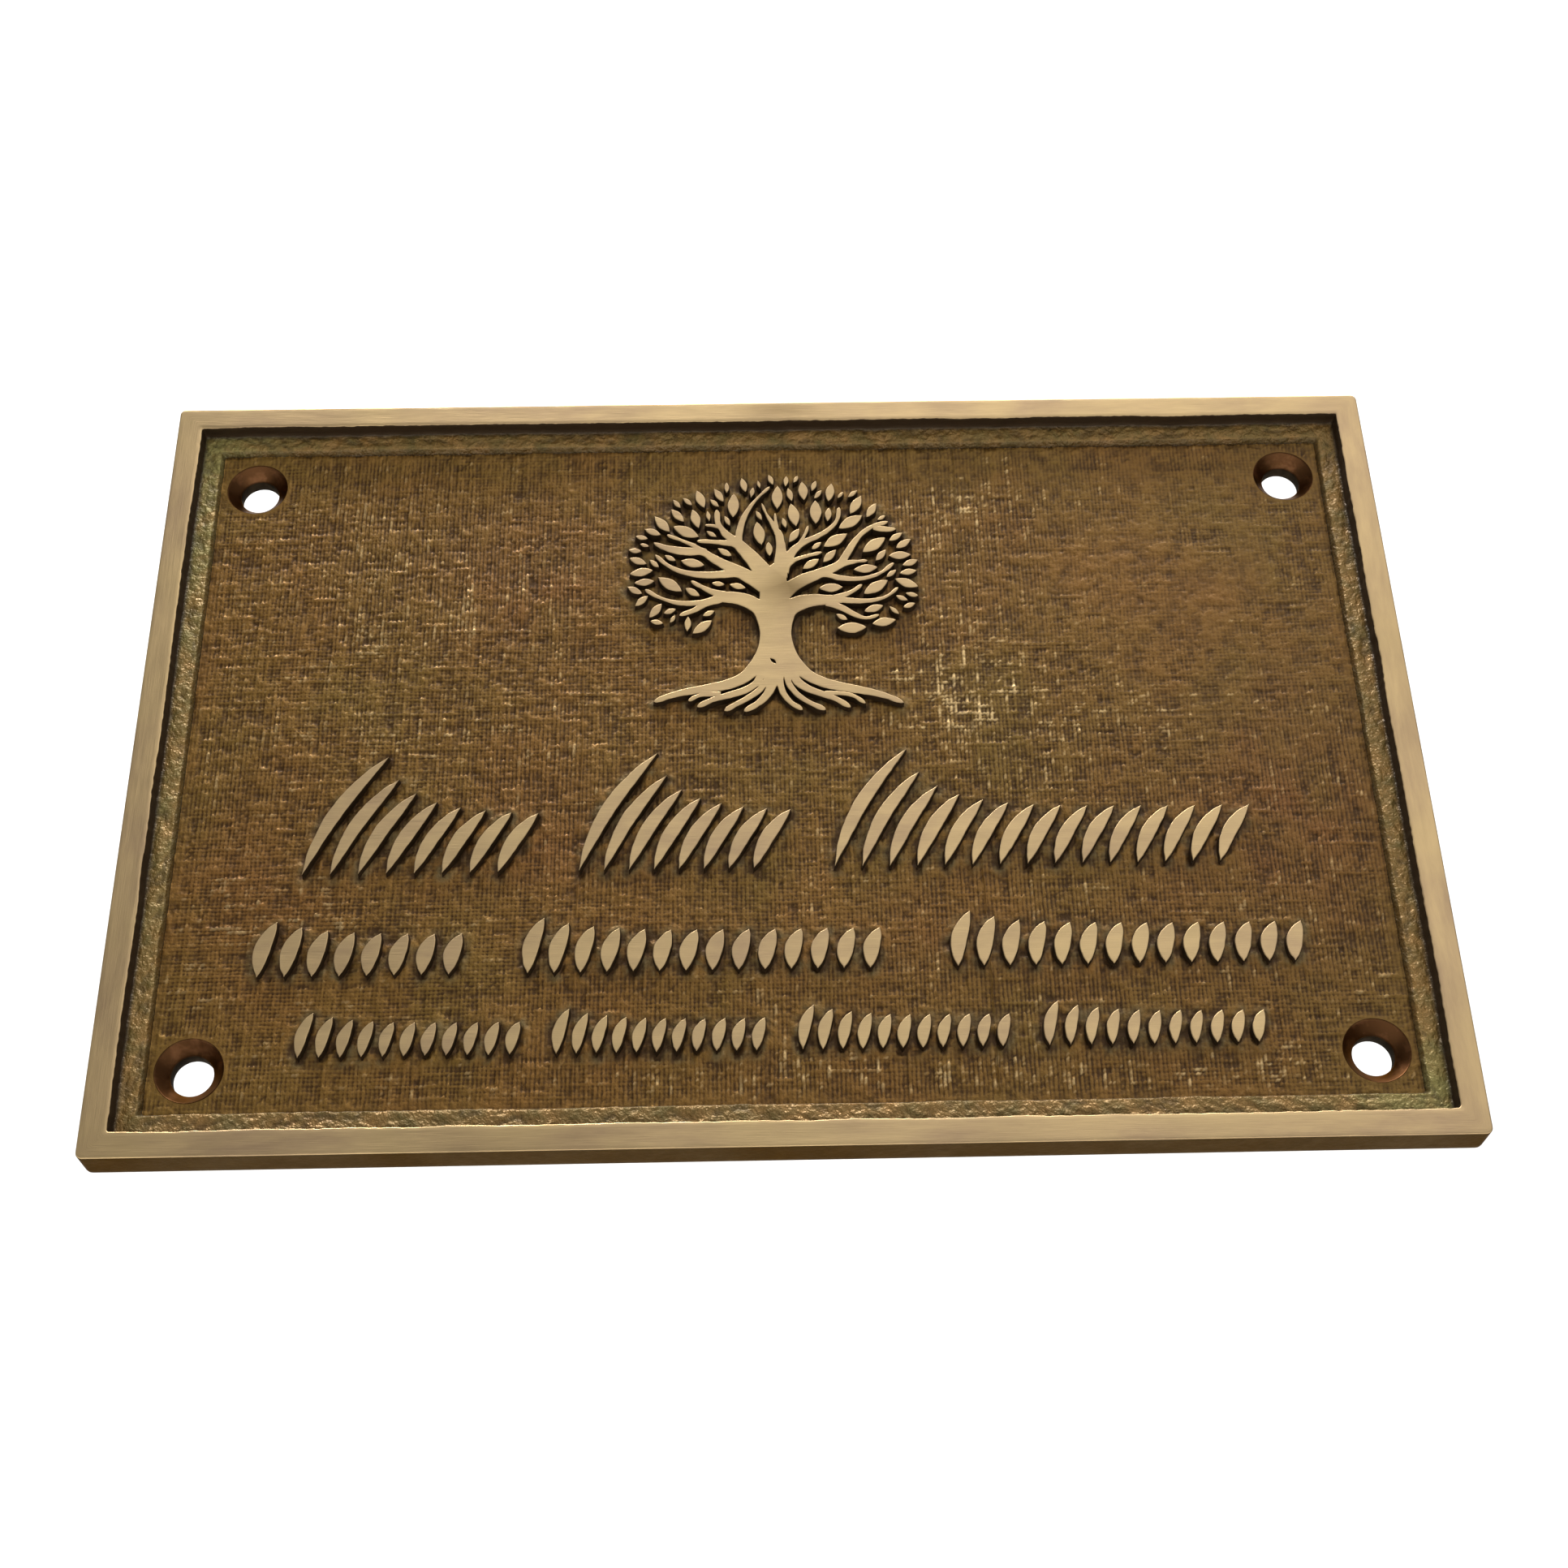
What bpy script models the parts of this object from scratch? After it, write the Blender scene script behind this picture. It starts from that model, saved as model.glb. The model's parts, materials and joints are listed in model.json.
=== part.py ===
"""A cast bronze memorial plaque with a tree of life and three rows of raised strokes.

The plaque stands as it hangs: +Z is up, its face looks along -Y and its flat back lies on y = 0.
Its origin is the middle of the back. Lengths are in metres.
"""

import math

import bmesh
import bpy
import numpy as np
from mathutils import Vector
from mathutils.geometry import delaunay_2d_cdt

# Plate
PLATE_WIDTH = 0.1524
PLATE_HEIGHT = 0.1016
CORNER_RADIUS = 0.0008
BACK_EDGE_RADIUS = 0.0020
CORNER_STEPS = 3
BACK_EDGE_STEPS = 4

# Border, ledge and sunk field; the depths are measured from the border's face
BORDER_WIDTH = 0.0030
LEDGE_WIDTH = 0.0025
LEDGE_DEPTH = 0.0018
FIELD_STEP = 0.0009  # from the ledge down to the field
FIELD_METAL = 0.0033  # what is left behind the field
INNER_CORNER_RADIUS = 0.0003
WALL_DRAFT = math.radians(7)
FIELD_INSET = BORDER_WIDTH + LEDGE_WIDTH
FIELD_DEPTH = LEDGE_DEPTH + FIELD_STEP
PLATE_THICKNESS = FIELD_DEPTH + FIELD_METAL
FIELD_HALF_WIDTH = PLATE_WIDTH / 2 - FIELD_INSET
FIELD_HALF_HEIGHT = PLATE_HEIGHT / 2 - FIELD_INSET

# Countersunk screw holes
HOLE_DIAMETER = 0.0048
COUNTERSINK_DIAMETER = 0.0076
COUNTERSINK_ANGLE = math.radians(82)
HOLE_SIDE_LAND = 0.0011  # field left between a countersink and the ledge beside it
HOLE_TOP_LAND = 0.0017  # and the ledge above or below it
HOLE_SIDES = 28

# Raised work on the field
RELIEF_HEIGHT = 0.0010
RELIEF_ROOT = 0.0006  # how far the raised work runs on under the field, so that it joins the plate
CUTTER_OVERRUN = 0.0010
MERGE_DISTANCE = 0.0000001
FLAT_ANGLE = math.radians(0.5)  # faces that turn less than this become one

# The tree is drawn in units of its own, upwards from the plaque's centre
CROWN_CLEARANCE = 0.0051  # field left between the crown's top and the ledge
TREE_RISE = FIELD_HALF_HEIGHT - CROWN_CLEARANCE  # top of the crown above the plaque's centre
DRAWN_RISE = 40.2  # the same height in the drawing
LIMB_STEP = 1.7  # drawn length between the points of a limb's edge
LIMB_REACH = 0.4  # share of a limb's span that its headings hold for
LIMB_TAPER = 1.0
ROOT_TAPER = 0.6

# Limbs: start x, y and heading in degrees, tip x, y and heading, width at the start and at the tip,
# and what the middle is wider than an even taper
LIMBS = (
    # trunk above the waist
    (-0.1, 18.0, 90, -0.1, 25.0, 90, 4.1, 3.2, 0.0),
    # lowest on the left
    (-0.6, 18.4, 125, -7.0, 21.65, 182, 2.4, 1.5, 0.0),
    (-6.2, 21.9, 168, -10.3, 24.0, 147, 1.1, 0.3, 0.0),
    (-7.0, 21.4, 200, -16.0, 22.8, 142, 0.9, 0.3, 0.0),
    (-6.8, 21.4, 190, -11.7, 19.0, 192, 1.3, 0.3, 0.0),
    # second on the left
    (-0.8, 22.8, 140, -9.2, 28.7, 140, 2.2, 0.95, 0.0),
    (-4.3, 25.2, 186, -14.8, 28.0, 128, 1.3, 0.3, 0.0),
    (-8.6, 28.5, 178, -15.0, 29.9, 148, 1.0, 0.3, 0.5),
    (-8.6, 28.5, 145, -13.3, 31.1, 155, 0.8, 0.25, 0.0),
    # third on the left
    (-0.8, 24.2, 118, -4.9, 30.1, 130, 2.6, 1.4, 0.0),
    (-4.5, 29.6, 172, -9.5, 30.15, 177, 1.1, 0.3, 0.0),
    (-4.7, 29.9, 140, -7.1, 34.7, 82, 1.3, 0.5, 0.0),
    (-6.8, 32.3, 165, -8.5, 32.6, 178, 0.6, 0.3, 0.0),
    (-4.5, 29.8, 85, -0.4, 38.4, 45, 1.1, 0.25, 0.0),
    # the middle
    (0.6, 24.5, 84, 0.5, 31.6, 105, 2.1, 0.85, 0.0),
    (0.5, 31.2, 110, -1.4, 35.8, 105, 0.8, 0.2, 0.0),
    (0.5, 31.2, 97, 0.25, 34.2, 93, 0.75, 0.2, 0.0),
    # highest on the right
    (1.0, 25.3, 75, 3.9, 29.9, 38, 1.7, 0.8, 0.0),
    (3.2, 29.4, 58, 4.4, 32.2, 68, 0.6, 0.15, 0.0),
    (3.5, 29.6, 26, 8.4, 34.9, 92, 0.8, 0.4, 0.0),
    (1.4, 25.9, 55, 5.95, 28.15, 18, 0.8, 0.2, 0.0),
    # second on the right
    (0.8, 21.6, 55, 8.6, 26.5, 35, 2.1, 1.1, 0.0),
    (8.2, 26.2, 60, 14.4, 32.7, 10, 1.2, 0.3, 0.0),
    (12.6, 31.8, -5, 15.3, 31.6, 5, 0.5, 0.4, 0.35),
    (8.4, 26.3, 18, 11.6, 26.8, 4, 0.9, 0.25, 0.0),
    (6.2, 24.8, -20, 14.9, 26.3, 48, 0.9, 0.3, 0.0),
    # lowest on the right
    (0.6, 18.8, 50, 8.2, 21.0, 0, 2.8, 1.1, 0.0),
    (7.4, 21.2, 20, 10.8, 23.1, 42, 1.0, 0.25, 0.0),
    (7.4, 21.0, -5, 15.3, 22.6, 50, 0.9, 0.25, 0.0),
    (6.4, 20.6, -14, 12.7, 18.6, 34, 1.1, 0.25, 0.0),
)
ROOTS = (
    (-1.9, 11.95, 238, -14.7, 6.6, 207, 1.65, 0.4, 0.0),
    (-1.6, 10.6, 256, -9.5, 5.8, 214, 1.1, 0.4, 0.0),
    (-6.8, 7.45, 180, -10.6, 6.65, 222, 0.7, 0.3, 0.0),
    (-0.7, 10.9, 262, -6.25, 5.2, 213, 0.95, 0.4, 0.0),
    (-0.2, 10.6, 266, -3.85, 5.1, 207, 1.35, 0.4, 0.0),
    (0.35, 10.6, 266, 2.9, 5.2, 331, 1.0, 0.4, 0.0),
    (1.05, 10.7, 274, 5.65, 5.15, 335, 0.85, 0.4, 0.0),
    (1.75, 10.9, 278, 8.7, 5.45, 318, 1.2, 0.4, 0.0),
    (5.8, 7.4, 0, 10.55, 5.95, 312, 0.6, 0.3, 0.0),
    (1.9, 11.95, 305, 15.1, 5.95, 330, 1.65, 0.4, 0.0),
)

# Lower trunk: its waist and how it spreads below and above
WAIST_Y = 16.1
WAIST_WIDTH = 3.9
TRUNK_BOTTOM_Y = 10.2
TRUNK_TOP_Y = 20.4
TRUNK_SPREAD_BELOW = 0.073
TRUNK_SPREAD_ABOVE = 0.078
TRUNK_STEPS = 9

# The knot: a small oval dimple low on the trunk, placed in the tree's drawing
KNOT_CENTRE = (-0.4, 12.1)
KNOT_LENGTH = 1.1
KNOT_TURN = math.radians(-50)
KNOT_DEPTH = 0.0004  # in metres, down from the trunk's face

# Crown: its outline is a superellipse whose upper and lower halves differ
CROWN_CENTRE = (-0.1, 26.0)
CROWN_HALF_WIDTH = 18.1
CROWN_UPPER_HEIGHT = 14.2
CROWN_UPPER_POWER = 2.0
CROWN_LOWER_HEIGHT = 10.0
CROWN_LOWER_POWER = 3.2
CROWN_TOLERANCE = 0.02  # share of the crown's size that a leaf's tip may pass its edge by
CROWN_PROBE = 0.01  # drawn length over which the slope of the crown's edge is taken
CROWN_HEART = (0.0, 20.0)  # the leaves inside the crown point away from it
ARCH_HALF_WIDTH = 7.5  # under the lowest limbs no leaf stands nearer the trunk
ARCH_TOP_Y = 20.5

# Leaves: a ring of lens shapes along the crown's edge, then one in each gap, the long ones first
LEAF_SLIMNESS = 2.4  # length over width
LEAF_FULLNESS = 1.0
LEAF_EDGE_STEPS = 4
LEAF_DISCS = 7  # discs that stand for a leaf while room is sought for it
LEAF_DISC_END = 0.47  # share of a leaf's length from its middle to the last disc
LIMB_DISCS = 3  # discs for each point of a limb's middle line
LEAF_GAP = 0.4
RING_LEAVES = 35
RING_START = math.radians(221)
RING_END = math.radians(-41)
RING_LENGTHS = (2.8, 2.2, 3.1, 2.5, 1.6, 2.9, 2.3)
RING_TURNS = (8, -10, 0, 14, -6, 10, -14, 4)  # degrees off the square to the crown's edge
RING_INSETS = (0.0, 0.7, 0.2)
GAP_LENGTHS = (3.6, 3.0, 2.5, 2.1, 1.6, 1.2)
GAP_TURNS = (0, -20, 20)  # degrees off the line away from the crown's heart
MOST_LEAVES = 88
SITE_STEP = 0.4

# Rows of strokes, top to bottom: separate blades side by side that all lean and bow the same way.
# A group fills the room from its left to its right edge. Its first stroke is the highest, and each
# further one falls by the same share of what is left above the row's own height. Feet and heights are
# shares of half the field's height, edges shares of half its width; widths and pitches are lengths.
STROKE_FALL = 0.62
STROKE_FULLNESS = 2.4
STROKE_BOW = 0.08  # share of a stroke's length that its middle stands off the straight line
STROKE_STEPS = 4
SCRIPT_ROW = {
    "foot": -0.358,
    "first_height": 0.344,
    "height": 0.163,
    "width": 0.0017,
    "pitch": 0.0031,
    "lean": math.radians(30),
    "groups": ((-0.793, -0.390), (-0.342, 0.028), (0.076, 0.793)),
}
BOLD_ROW = {
    "foot": -0.642,
    "first_height": 0.152,
    "height": 0.110,
    "width": 0.0019,
    "pitch": 0.0029,
    "lean": math.radians(14),
    "groups": ((-0.851, -0.502), (-0.421, 0.170), (0.266, 0.851)),
}
SMALL_ROW = {
    "foot": -0.859,
    "first_height": 0.119,
    "height": 0.086,
    "width": 0.0014,
    "pitch": 0.0023,
    "lean": math.radians(14),
    "groups": ((-0.771, -0.407), (-0.368, -0.021), (0.018, 0.365), (0.405, 0.768)),
}

# Materials
CAST_BRONZE_COLOUR = (0.30, 0.20, 0.09, 1.0)
CAST_BRONZE_ROUGHNESS = 0.45


def clear_scene():
    for obj in list(bpy.data.objects):
        bpy.data.objects.remove(obj, do_unlink=True)


def mesh_object(name, bm, collection):
    """A new object from bm, which is freed."""
    mesh = bpy.data.meshes.new(name)
    bm.to_mesh(mesh)
    bm.free()
    obj = bpy.data.objects.new(name, mesh)
    collection.objects.link(obj)
    return obj


def new_collection(name, parent):
    collection = bpy.data.collections.new(name)
    parent.children.link(collection)
    return collection


def add_boolean(obj, name, operation, collection):
    modifier = obj.modifiers.new(name, "BOOLEAN")
    modifier.operation = operation
    modifier.solver = "EXACT"
    modifier.operand_type = "COLLECTION"
    modifier.collection = collection


def rounded_rectangle(width, height, radius, y):
    """The points round an upright rectangle with round corners, at depth y."""
    points = []
    for quarter, (side, level) in enumerate(((1, 1), (-1, 1), (-1, -1), (1, -1))):
        for step in range(CORNER_STEPS + 1):
            angle = math.radians(90) * (quarter + step / CORNER_STEPS)
            x = side * (width / 2 - radius) + radius * math.cos(angle)
            z = level * (height / 2 - radius) + radius * math.sin(angle)
            points.append((x, y, z))
    return points


def loft(sections):
    """A closed body through sections with as many points each, in order."""
    bm = bmesh.new()
    rings = [[bm.verts.new(point) for point in section] for section in sections]
    bm.faces.new(rings[0])
    bm.faces.new(rings[-1])
    for ring, following in zip(rings, rings[1:]):
        for here in range(len(ring)):
            bm.faces.new((ring[here - 1], ring[here], following[here], following[here - 1]))
    bmesh.ops.recalc_face_normals(bm, faces=bm.faces)
    return bm


def plate_body():
    """The plate: a straight edge in front, and a back edge that rounds in, most at the corners."""
    sections = [rounded_rectangle(PLATE_WIDTH, PLATE_HEIGHT, CORNER_RADIUS, -PLATE_THICKNESS)]
    for step in range(BACK_EDGE_STEPS + 1):
        angle = math.radians(90) * step / BACK_EDGE_STEPS
        inset = BACK_EDGE_RADIUS * (1 - math.cos(angle))
        y = -BACK_EDGE_RADIUS * (1 - math.sin(angle))
        sections.append(
            rounded_rectangle(
                PLATE_WIDTH - 2 * inset, PLATE_HEIGHT - 2 * inset, CORNER_RADIUS + inset, y
            )
        )
    return loft(sections)


def recess_cutter(inset, depth):
    """What a recess removes: a drafted block that starts in front of the face, inset from the edge."""
    sections = []
    for y in (-CUTTER_OVERRUN, depth):
        edge = inset + y * math.tan(WALL_DRAFT)
        sections.append(
            rounded_rectangle(
                PLATE_WIDTH - 2 * edge, PLATE_HEIGHT - 2 * edge, INNER_CORNER_RADIUS, y - PLATE_THICKNESS
            )
        )
    return loft(sections)


def knot_cutter():
    """What the knot takes out of the trunk: a leaf-shaped block down to the knot's floor."""
    outline = tree_scaled(leaf_outline(*KNOT_CENTRE, KNOT_TURN, KNOT_LENGTH))
    top_y = -FIELD_METAL - RELIEF_HEIGHT
    return loft([[(x, y, z) for x, z in outline] for y in (top_y - CUTTER_OVERRUN, top_y + KNOT_DEPTH)])


def hole_cutter(x, z):
    """What a screw hole removes: a turned profile that widens to the countersink at the field."""
    field_y = -FIELD_METAL
    slope = math.tan(COUNTERSINK_ANGLE / 2)
    bore = HOLE_DIAMETER / 2
    rim = COUNTERSINK_DIAMETER / 2
    sink = (rim - bore) / slope
    profile = (
        (0, field_y - CUTTER_OVERRUN),
        (rim + CUTTER_OVERRUN * slope, field_y - CUTTER_OVERRUN),
        (bore, field_y + sink),
        (bore, CUTTER_OVERRUN),
        (0, CUTTER_OVERRUN),
    )
    bm = bmesh.new()
    points = [bm.verts.new((x + radius, y, z)) for radius, y in profile]
    edges = [bm.edges.new(pair) for pair in zip(points, points[1:])]
    bmesh.ops.spin(
        bm,
        geom=points + edges,
        cent=(x, 0, z),
        axis=(0, 1, 0),
        angle=math.radians(360),
        steps=HOLE_SIDES,
        use_merge=True,
    )
    bmesh.ops.remove_doubles(bm, verts=bm.verts, dist=MERGE_DISTANCE)
    bmesh.ops.recalc_face_normals(bm, faces=bm.faces)
    return bm


def limb_line(limb, taper):
    """Points along a limb's middle and its width there: a cubic that leaves and arrives on its headings."""
    x0, y0, heading0, x1, y1, heading1, width0, width1, belly = limb
    start = np.array((x0, y0))
    tip = np.array((x1, y1))
    span = np.linalg.norm(tip - start)
    reach = LIMB_REACH * span
    away0 = np.array((math.cos(math.radians(heading0)), math.sin(math.radians(heading0))))
    away1 = np.array((math.cos(math.radians(heading1)), math.sin(math.radians(heading1))))
    steps = max(3, round(span / LIMB_STEP))
    t = np.linspace(0, 1, steps + 1)[:, None]
    line = (
        (1 - t) ** 3 * start
        + 3 * (1 - t) ** 2 * t * (start + reach * away0)
        + 3 * (1 - t) * t**2 * (tip - reach * away1)
        + t**3 * tip
    )
    widths = width1 + (width0 - width1) * (1 - t) ** taper + belly * 4 * t * (1 - t)
    return line, widths


def ribbon_outline(line, widths):
    """The outline of a ribbon of varying width along a line, with a short pointed tip."""
    along = np.gradient(line, axis=0)
    along /= np.linalg.norm(along, axis=1)[:, None]
    across = np.stack((-along[:, 1], along[:, 0]), axis=1)
    left = line + across * widths / 2
    right = line - across * widths / 2
    tip = line[-1:] + along[-1:] * widths[-1] / 2
    return np.concatenate((right, tip, left[::-1]))


def trunk_outline():
    """The lower trunk: an even waist that spreads as the square of the distance from it."""
    y = np.linspace(TRUNK_BOTTOM_Y, TRUNK_TOP_Y, TRUNK_STEPS)
    spread = np.where(y < WAIST_Y, TRUNK_SPREAD_BELOW, TRUNK_SPREAD_ABOVE)
    half = WAIST_WIDTH / 2 + spread * (y - WAIST_Y) ** 2
    right = np.stack((half, y), axis=1)
    left = np.stack((-half, y), axis=1)
    return np.concatenate((right, left[::-1]))


def leaf_half_width(along, length):
    """Half the width of a leaf at a share of its length from its middle, from -0.5 to 0.5."""
    return length / LEAF_SLIMNESS / 2 * (1 - (2 * along) ** 2) ** LEAF_FULLNESS


def leaf_outline(x, y, turn, length):
    """A lens round (x, y) whose points lie along turn, in radians."""
    along = -0.5 * np.cos(np.linspace(0, math.pi, LEAF_EDGE_STEPS + 1))
    half = leaf_half_width(along, length)
    lower = np.stack((along * length, -half), axis=1)
    upper = np.stack((along * length, half), axis=1)[-2:0:-1]
    turned = np.array(((math.cos(turn), math.sin(turn)), (-math.sin(turn), math.cos(turn))))
    return np.concatenate((lower, upper)) @ turned + (x, y)


def crown_measure(x, y):
    """Under 1 inside the crown's outline, 1 on it."""
    upper = y > CROWN_CENTRE[1]
    power = np.where(upper, CROWN_UPPER_POWER, CROWN_LOWER_POWER)
    height = np.where(upper, CROWN_UPPER_HEIGHT, CROWN_LOWER_HEIGHT)
    across = abs(x - CROWN_CENTRE[0]) / CROWN_HALF_WIDTH
    along = abs(y - CROWN_CENTRE[1]) / height
    return (across**power + along**power) ** (1 / power)


def out_of_crown(points):
    """Which points lie past the crown's edge or under the arches of its lowest limbs."""
    x = points[..., 0]
    y = points[..., 1]
    return (crown_measure(x, y) > 1 + CROWN_TOLERANCE) | ((abs(x) < ARCH_HALF_WIDTH) & (y < ARCH_TOP_Y))


def limb_discs(lines):
    """Middles and radii of discs that together fill the limbs."""
    middles = []
    radii = []
    for line, widths in lines:
        whole = np.arange(len(line))
        share = np.linspace(0, len(line) - 1, LIMB_DISCS * len(line))
        middles.append(np.stack([np.interp(share, whole, line[:, axis]) for axis in (0, 1)], axis=1))
        radii.append(np.interp(share, whole, widths[:, 0]) / 2)
    return np.concatenate(middles), np.concatenate(radii)


def leaf_discs(places, turns, length):
    """Middles and radii of discs along leaves at these places and turns, which nearly fill them."""
    shares = np.linspace(-LEAF_DISC_END, LEAF_DISC_END, LEAF_DISCS)
    away = np.stack((np.cos(turns), np.sin(turns)), axis=-1)
    middles = places[..., None, :] + length * shares[:, None] * away[..., None, :]
    return middles, leaf_half_width(shares, length)


def room_between(places, radii, others, other_radii):
    """How far each disc at places is from the nearest of the others."""
    away = np.hypot(places[..., None, 0] - others[:, 0], places[..., None, 1] - others[:, 1])
    return (away - other_radii).min(axis=-1) - radii


def ring_leaves(taken):
    """Leaves at even steps round the crown's edge and about square to it, each as long as fits.

    Each is (place, turn, length). taken holds the middles and radii of what stands there, and grows.
    """
    leaves = []
    for number, angle in enumerate(np.linspace(RING_START, RING_END, RING_LEAVES)):
        out = np.array((math.cos(angle), math.sin(angle)))
        edge = CROWN_CENTRE + out / crown_measure(*(CROWN_CENTRE + out))
        slope = [crown_measure(*(edge + step)) - 1 for step in CROWN_PROBE * np.eye(2)]
        turn = math.atan2(slope[1], slope[0]) + math.radians(RING_TURNS[number % len(RING_TURNS)])
        away = np.array((math.cos(turn), math.sin(turn)))
        wish = RING_LENGTHS[number % len(RING_LENGTHS)]
        for length in [wish] + [shorter for shorter in GAP_LENGTHS if shorter < wish]:
            place = edge - away * (length / 2 + RING_INSETS[number % len(RING_INSETS)])
            filled = leaf_discs(place, np.array(turn), length)
            if room_between(*filled, *taken).min() > LEAF_GAP:
                leaves.append((place, turn, length))
                taken[0] = np.concatenate((taken[0], filled[0]))
                taken[1] = np.concatenate((taken[1], filled[1]))
                break
    return leaves


def gap_leaves(taken, most):
    """Leaves inside the crown: each is as long as still fits, and stands where it has the most room."""
    across = np.arange(-CROWN_HALF_WIDTH, CROWN_HALF_WIDTH, SITE_STEP) + CROWN_CENTRE[0]
    up = np.arange(-CROWN_LOWER_HEIGHT, CROWN_UPPER_HEIGHT, SITE_STEP) + CROWN_CENTRE[1]
    sites = np.stack(np.meshgrid(across, up), axis=-1).reshape(-1, 2)
    sites = sites[~out_of_crown(sites)]
    site_room = room_between(sites, 0, *taken)
    leaves = []
    for length in GAP_LENGTHS:
        roomy = site_room > LEAF_GAP + leaf_half_width(0, length)
        outwards = np.arctan2(*(sites[roomy] - CROWN_HEART).T[::-1])
        turns = (outwards[:, None] + np.radians(GAP_TURNS)).ravel()
        places = np.repeat(sites[roomy], len(GAP_TURNS), axis=0)
        middles, radii = leaf_discs(places, turns, length)
        room = room_between(middles, radii, *taken).min(axis=-1)
        room[out_of_crown(middles).any(axis=-1)] = 0
        while len(leaves) < most and len(room):
            best = int(np.argmax(np.round(room, 4)))
            if room[best] <= LEAF_GAP:
                break
            leaves.append((places[best], float(turns[best]), length))
            filled = leaf_discs(places[best], turns[best], length)
            room = np.minimum(room, room_between(middles, radii, *filled).min(axis=-1))
            site_room = np.minimum(site_room, room_between(sites, 0, *filled))
            taken[0] = np.concatenate((taken[0], filled[0]))
            taken[1] = np.concatenate((taken[1], filled[1]))
    return leaves


def tree_scaled(outline):
    """An outline of the tree's drawing, in metres about the plaque's centre."""
    return outline * TREE_RISE / DRAWN_RISE


def tree_outlines():
    """Every outline of the tree: trunk, limbs and roots, then the leaves that find room between them."""
    limbs = [limb_line(limb, LIMB_TAPER) for limb in LIMBS]
    roots = [limb_line(root, ROOT_TAPER) for root in ROOTS]
    taken = list(limb_discs(limbs))
    leaves = ring_leaves(taken)
    leaves += gap_leaves(taken, MOST_LEAVES - len(leaves))
    outlines = [trunk_outline()]
    outlines += [ribbon_outline(*line) for line in limbs + roots]
    outlines += [leaf_outline(*place, turn, length) for place, turn, length in leaves]
    return [tree_scaled(outline) for outline in outlines]


def blade_outline(foot, head, width, bow):
    """A stroke from foot to head, widest in its middle, which stands off the straight line by bow."""
    foot = np.array(foot)
    head = np.array(head)
    across = np.array((foot[1] - head[1], head[0] - foot[0])) / np.linalg.norm(head - foot)
    t = (0.5 - 0.5 * np.cos(np.linspace(0, math.pi, STROKE_STEPS + 1)))[:, None]
    line = foot + t * (head - foot) + across * bow * 4 * t * (1 - t)
    half = width / 2 * (1 - abs(2 * t - 1) ** STROKE_FULLNESS)
    right = line - across * half
    left = (line + across * half)[-2:0:-1]
    return np.concatenate((right, left))


def row_strokes(row):
    """Parallel strokes at an even pitch, stretched so that each group just fills its room."""
    slope = math.tan(row["lean"])
    foot_z = row["foot"] * FIELD_HALF_HEIGHT
    height = row["height"] * FIELD_HALF_HEIGHT
    extra = row["first_height"] * FIELD_HALF_HEIGHT - height
    strokes = []
    for left, right in row["groups"]:
        first = left * FIELD_HALF_WIDTH + row["width"] / 2
        last = right * FIELD_HALF_WIDTH - row["width"] / 2 - height * slope
        count = round((last - first) / row["pitch"]) + 1
        for number, x in enumerate(np.linspace(first, last, count)):
            rise = height + extra * STROKE_FALL**number
            head = (x + rise * slope, foot_z + rise)
            strokes.append(blade_outline((x, foot_z), head, row["width"], STROKE_BOW * rise))
    return strokes


def stroke_outlines():
    """The three rows, in metres about the plaque's centre."""
    return [stroke for row in (SCRIPT_ROW, BOLD_ROW, SMALL_ROW) for stroke in row_strokes(row)]


def raised_body(outlines):
    """The raised work as one body: overlapping outlines become one flat shape, drawn out into the plate."""
    points = []
    faces = []
    for outline in outlines:
        faces.append(list(range(len(points), len(points) + len(outline))))
        points += [Vector(point) for point in outline]
    flat, _, cells, _, _, sources = delaunay_2d_cdt(points, [], faces, 0, MERGE_DISTANCE)
    top_y = -FIELD_METAL - RELIEF_HEIGHT
    bm = bmesh.new()
    verts = [bm.verts.new((point.x, top_y, point.y)) for point in flat]
    for cell, source in zip(cells, sources):
        if source:
            bm.faces.new([verts[i] for i in cell])
    bmesh.ops.delete(bm, geom=[v for v in bm.verts if not v.link_faces], context="VERTS")
    bmesh.ops.dissolve_limit(bm, angle_limit=FLAT_ANGLE, verts=bm.verts, edges=bm.edges)
    drawn = bmesh.ops.extrude_face_region(bm, geom=bm.faces[:])
    moved = [item for item in drawn["geom"] if isinstance(item, bmesh.types.BMVert)]
    bmesh.ops.translate(bm, verts=moved, vec=(0, RELIEF_HEIGHT + RELIEF_ROOT, 0))
    bmesh.ops.recalc_face_normals(bm, faces=bm.faces)
    return bm


def bronze_material():
    material = bpy.data.materials.new("cast_bronze")
    material.use_nodes = True
    shader = material.node_tree.nodes["Principled BSDF"]
    shader.inputs["Base Color"].default_value = CAST_BRONZE_COLOUR
    shader.inputs["Roughness"].default_value = CAST_BRONZE_ROUGHNESS
    shader.inputs["Metallic"].default_value = 1.0
    return material


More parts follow.
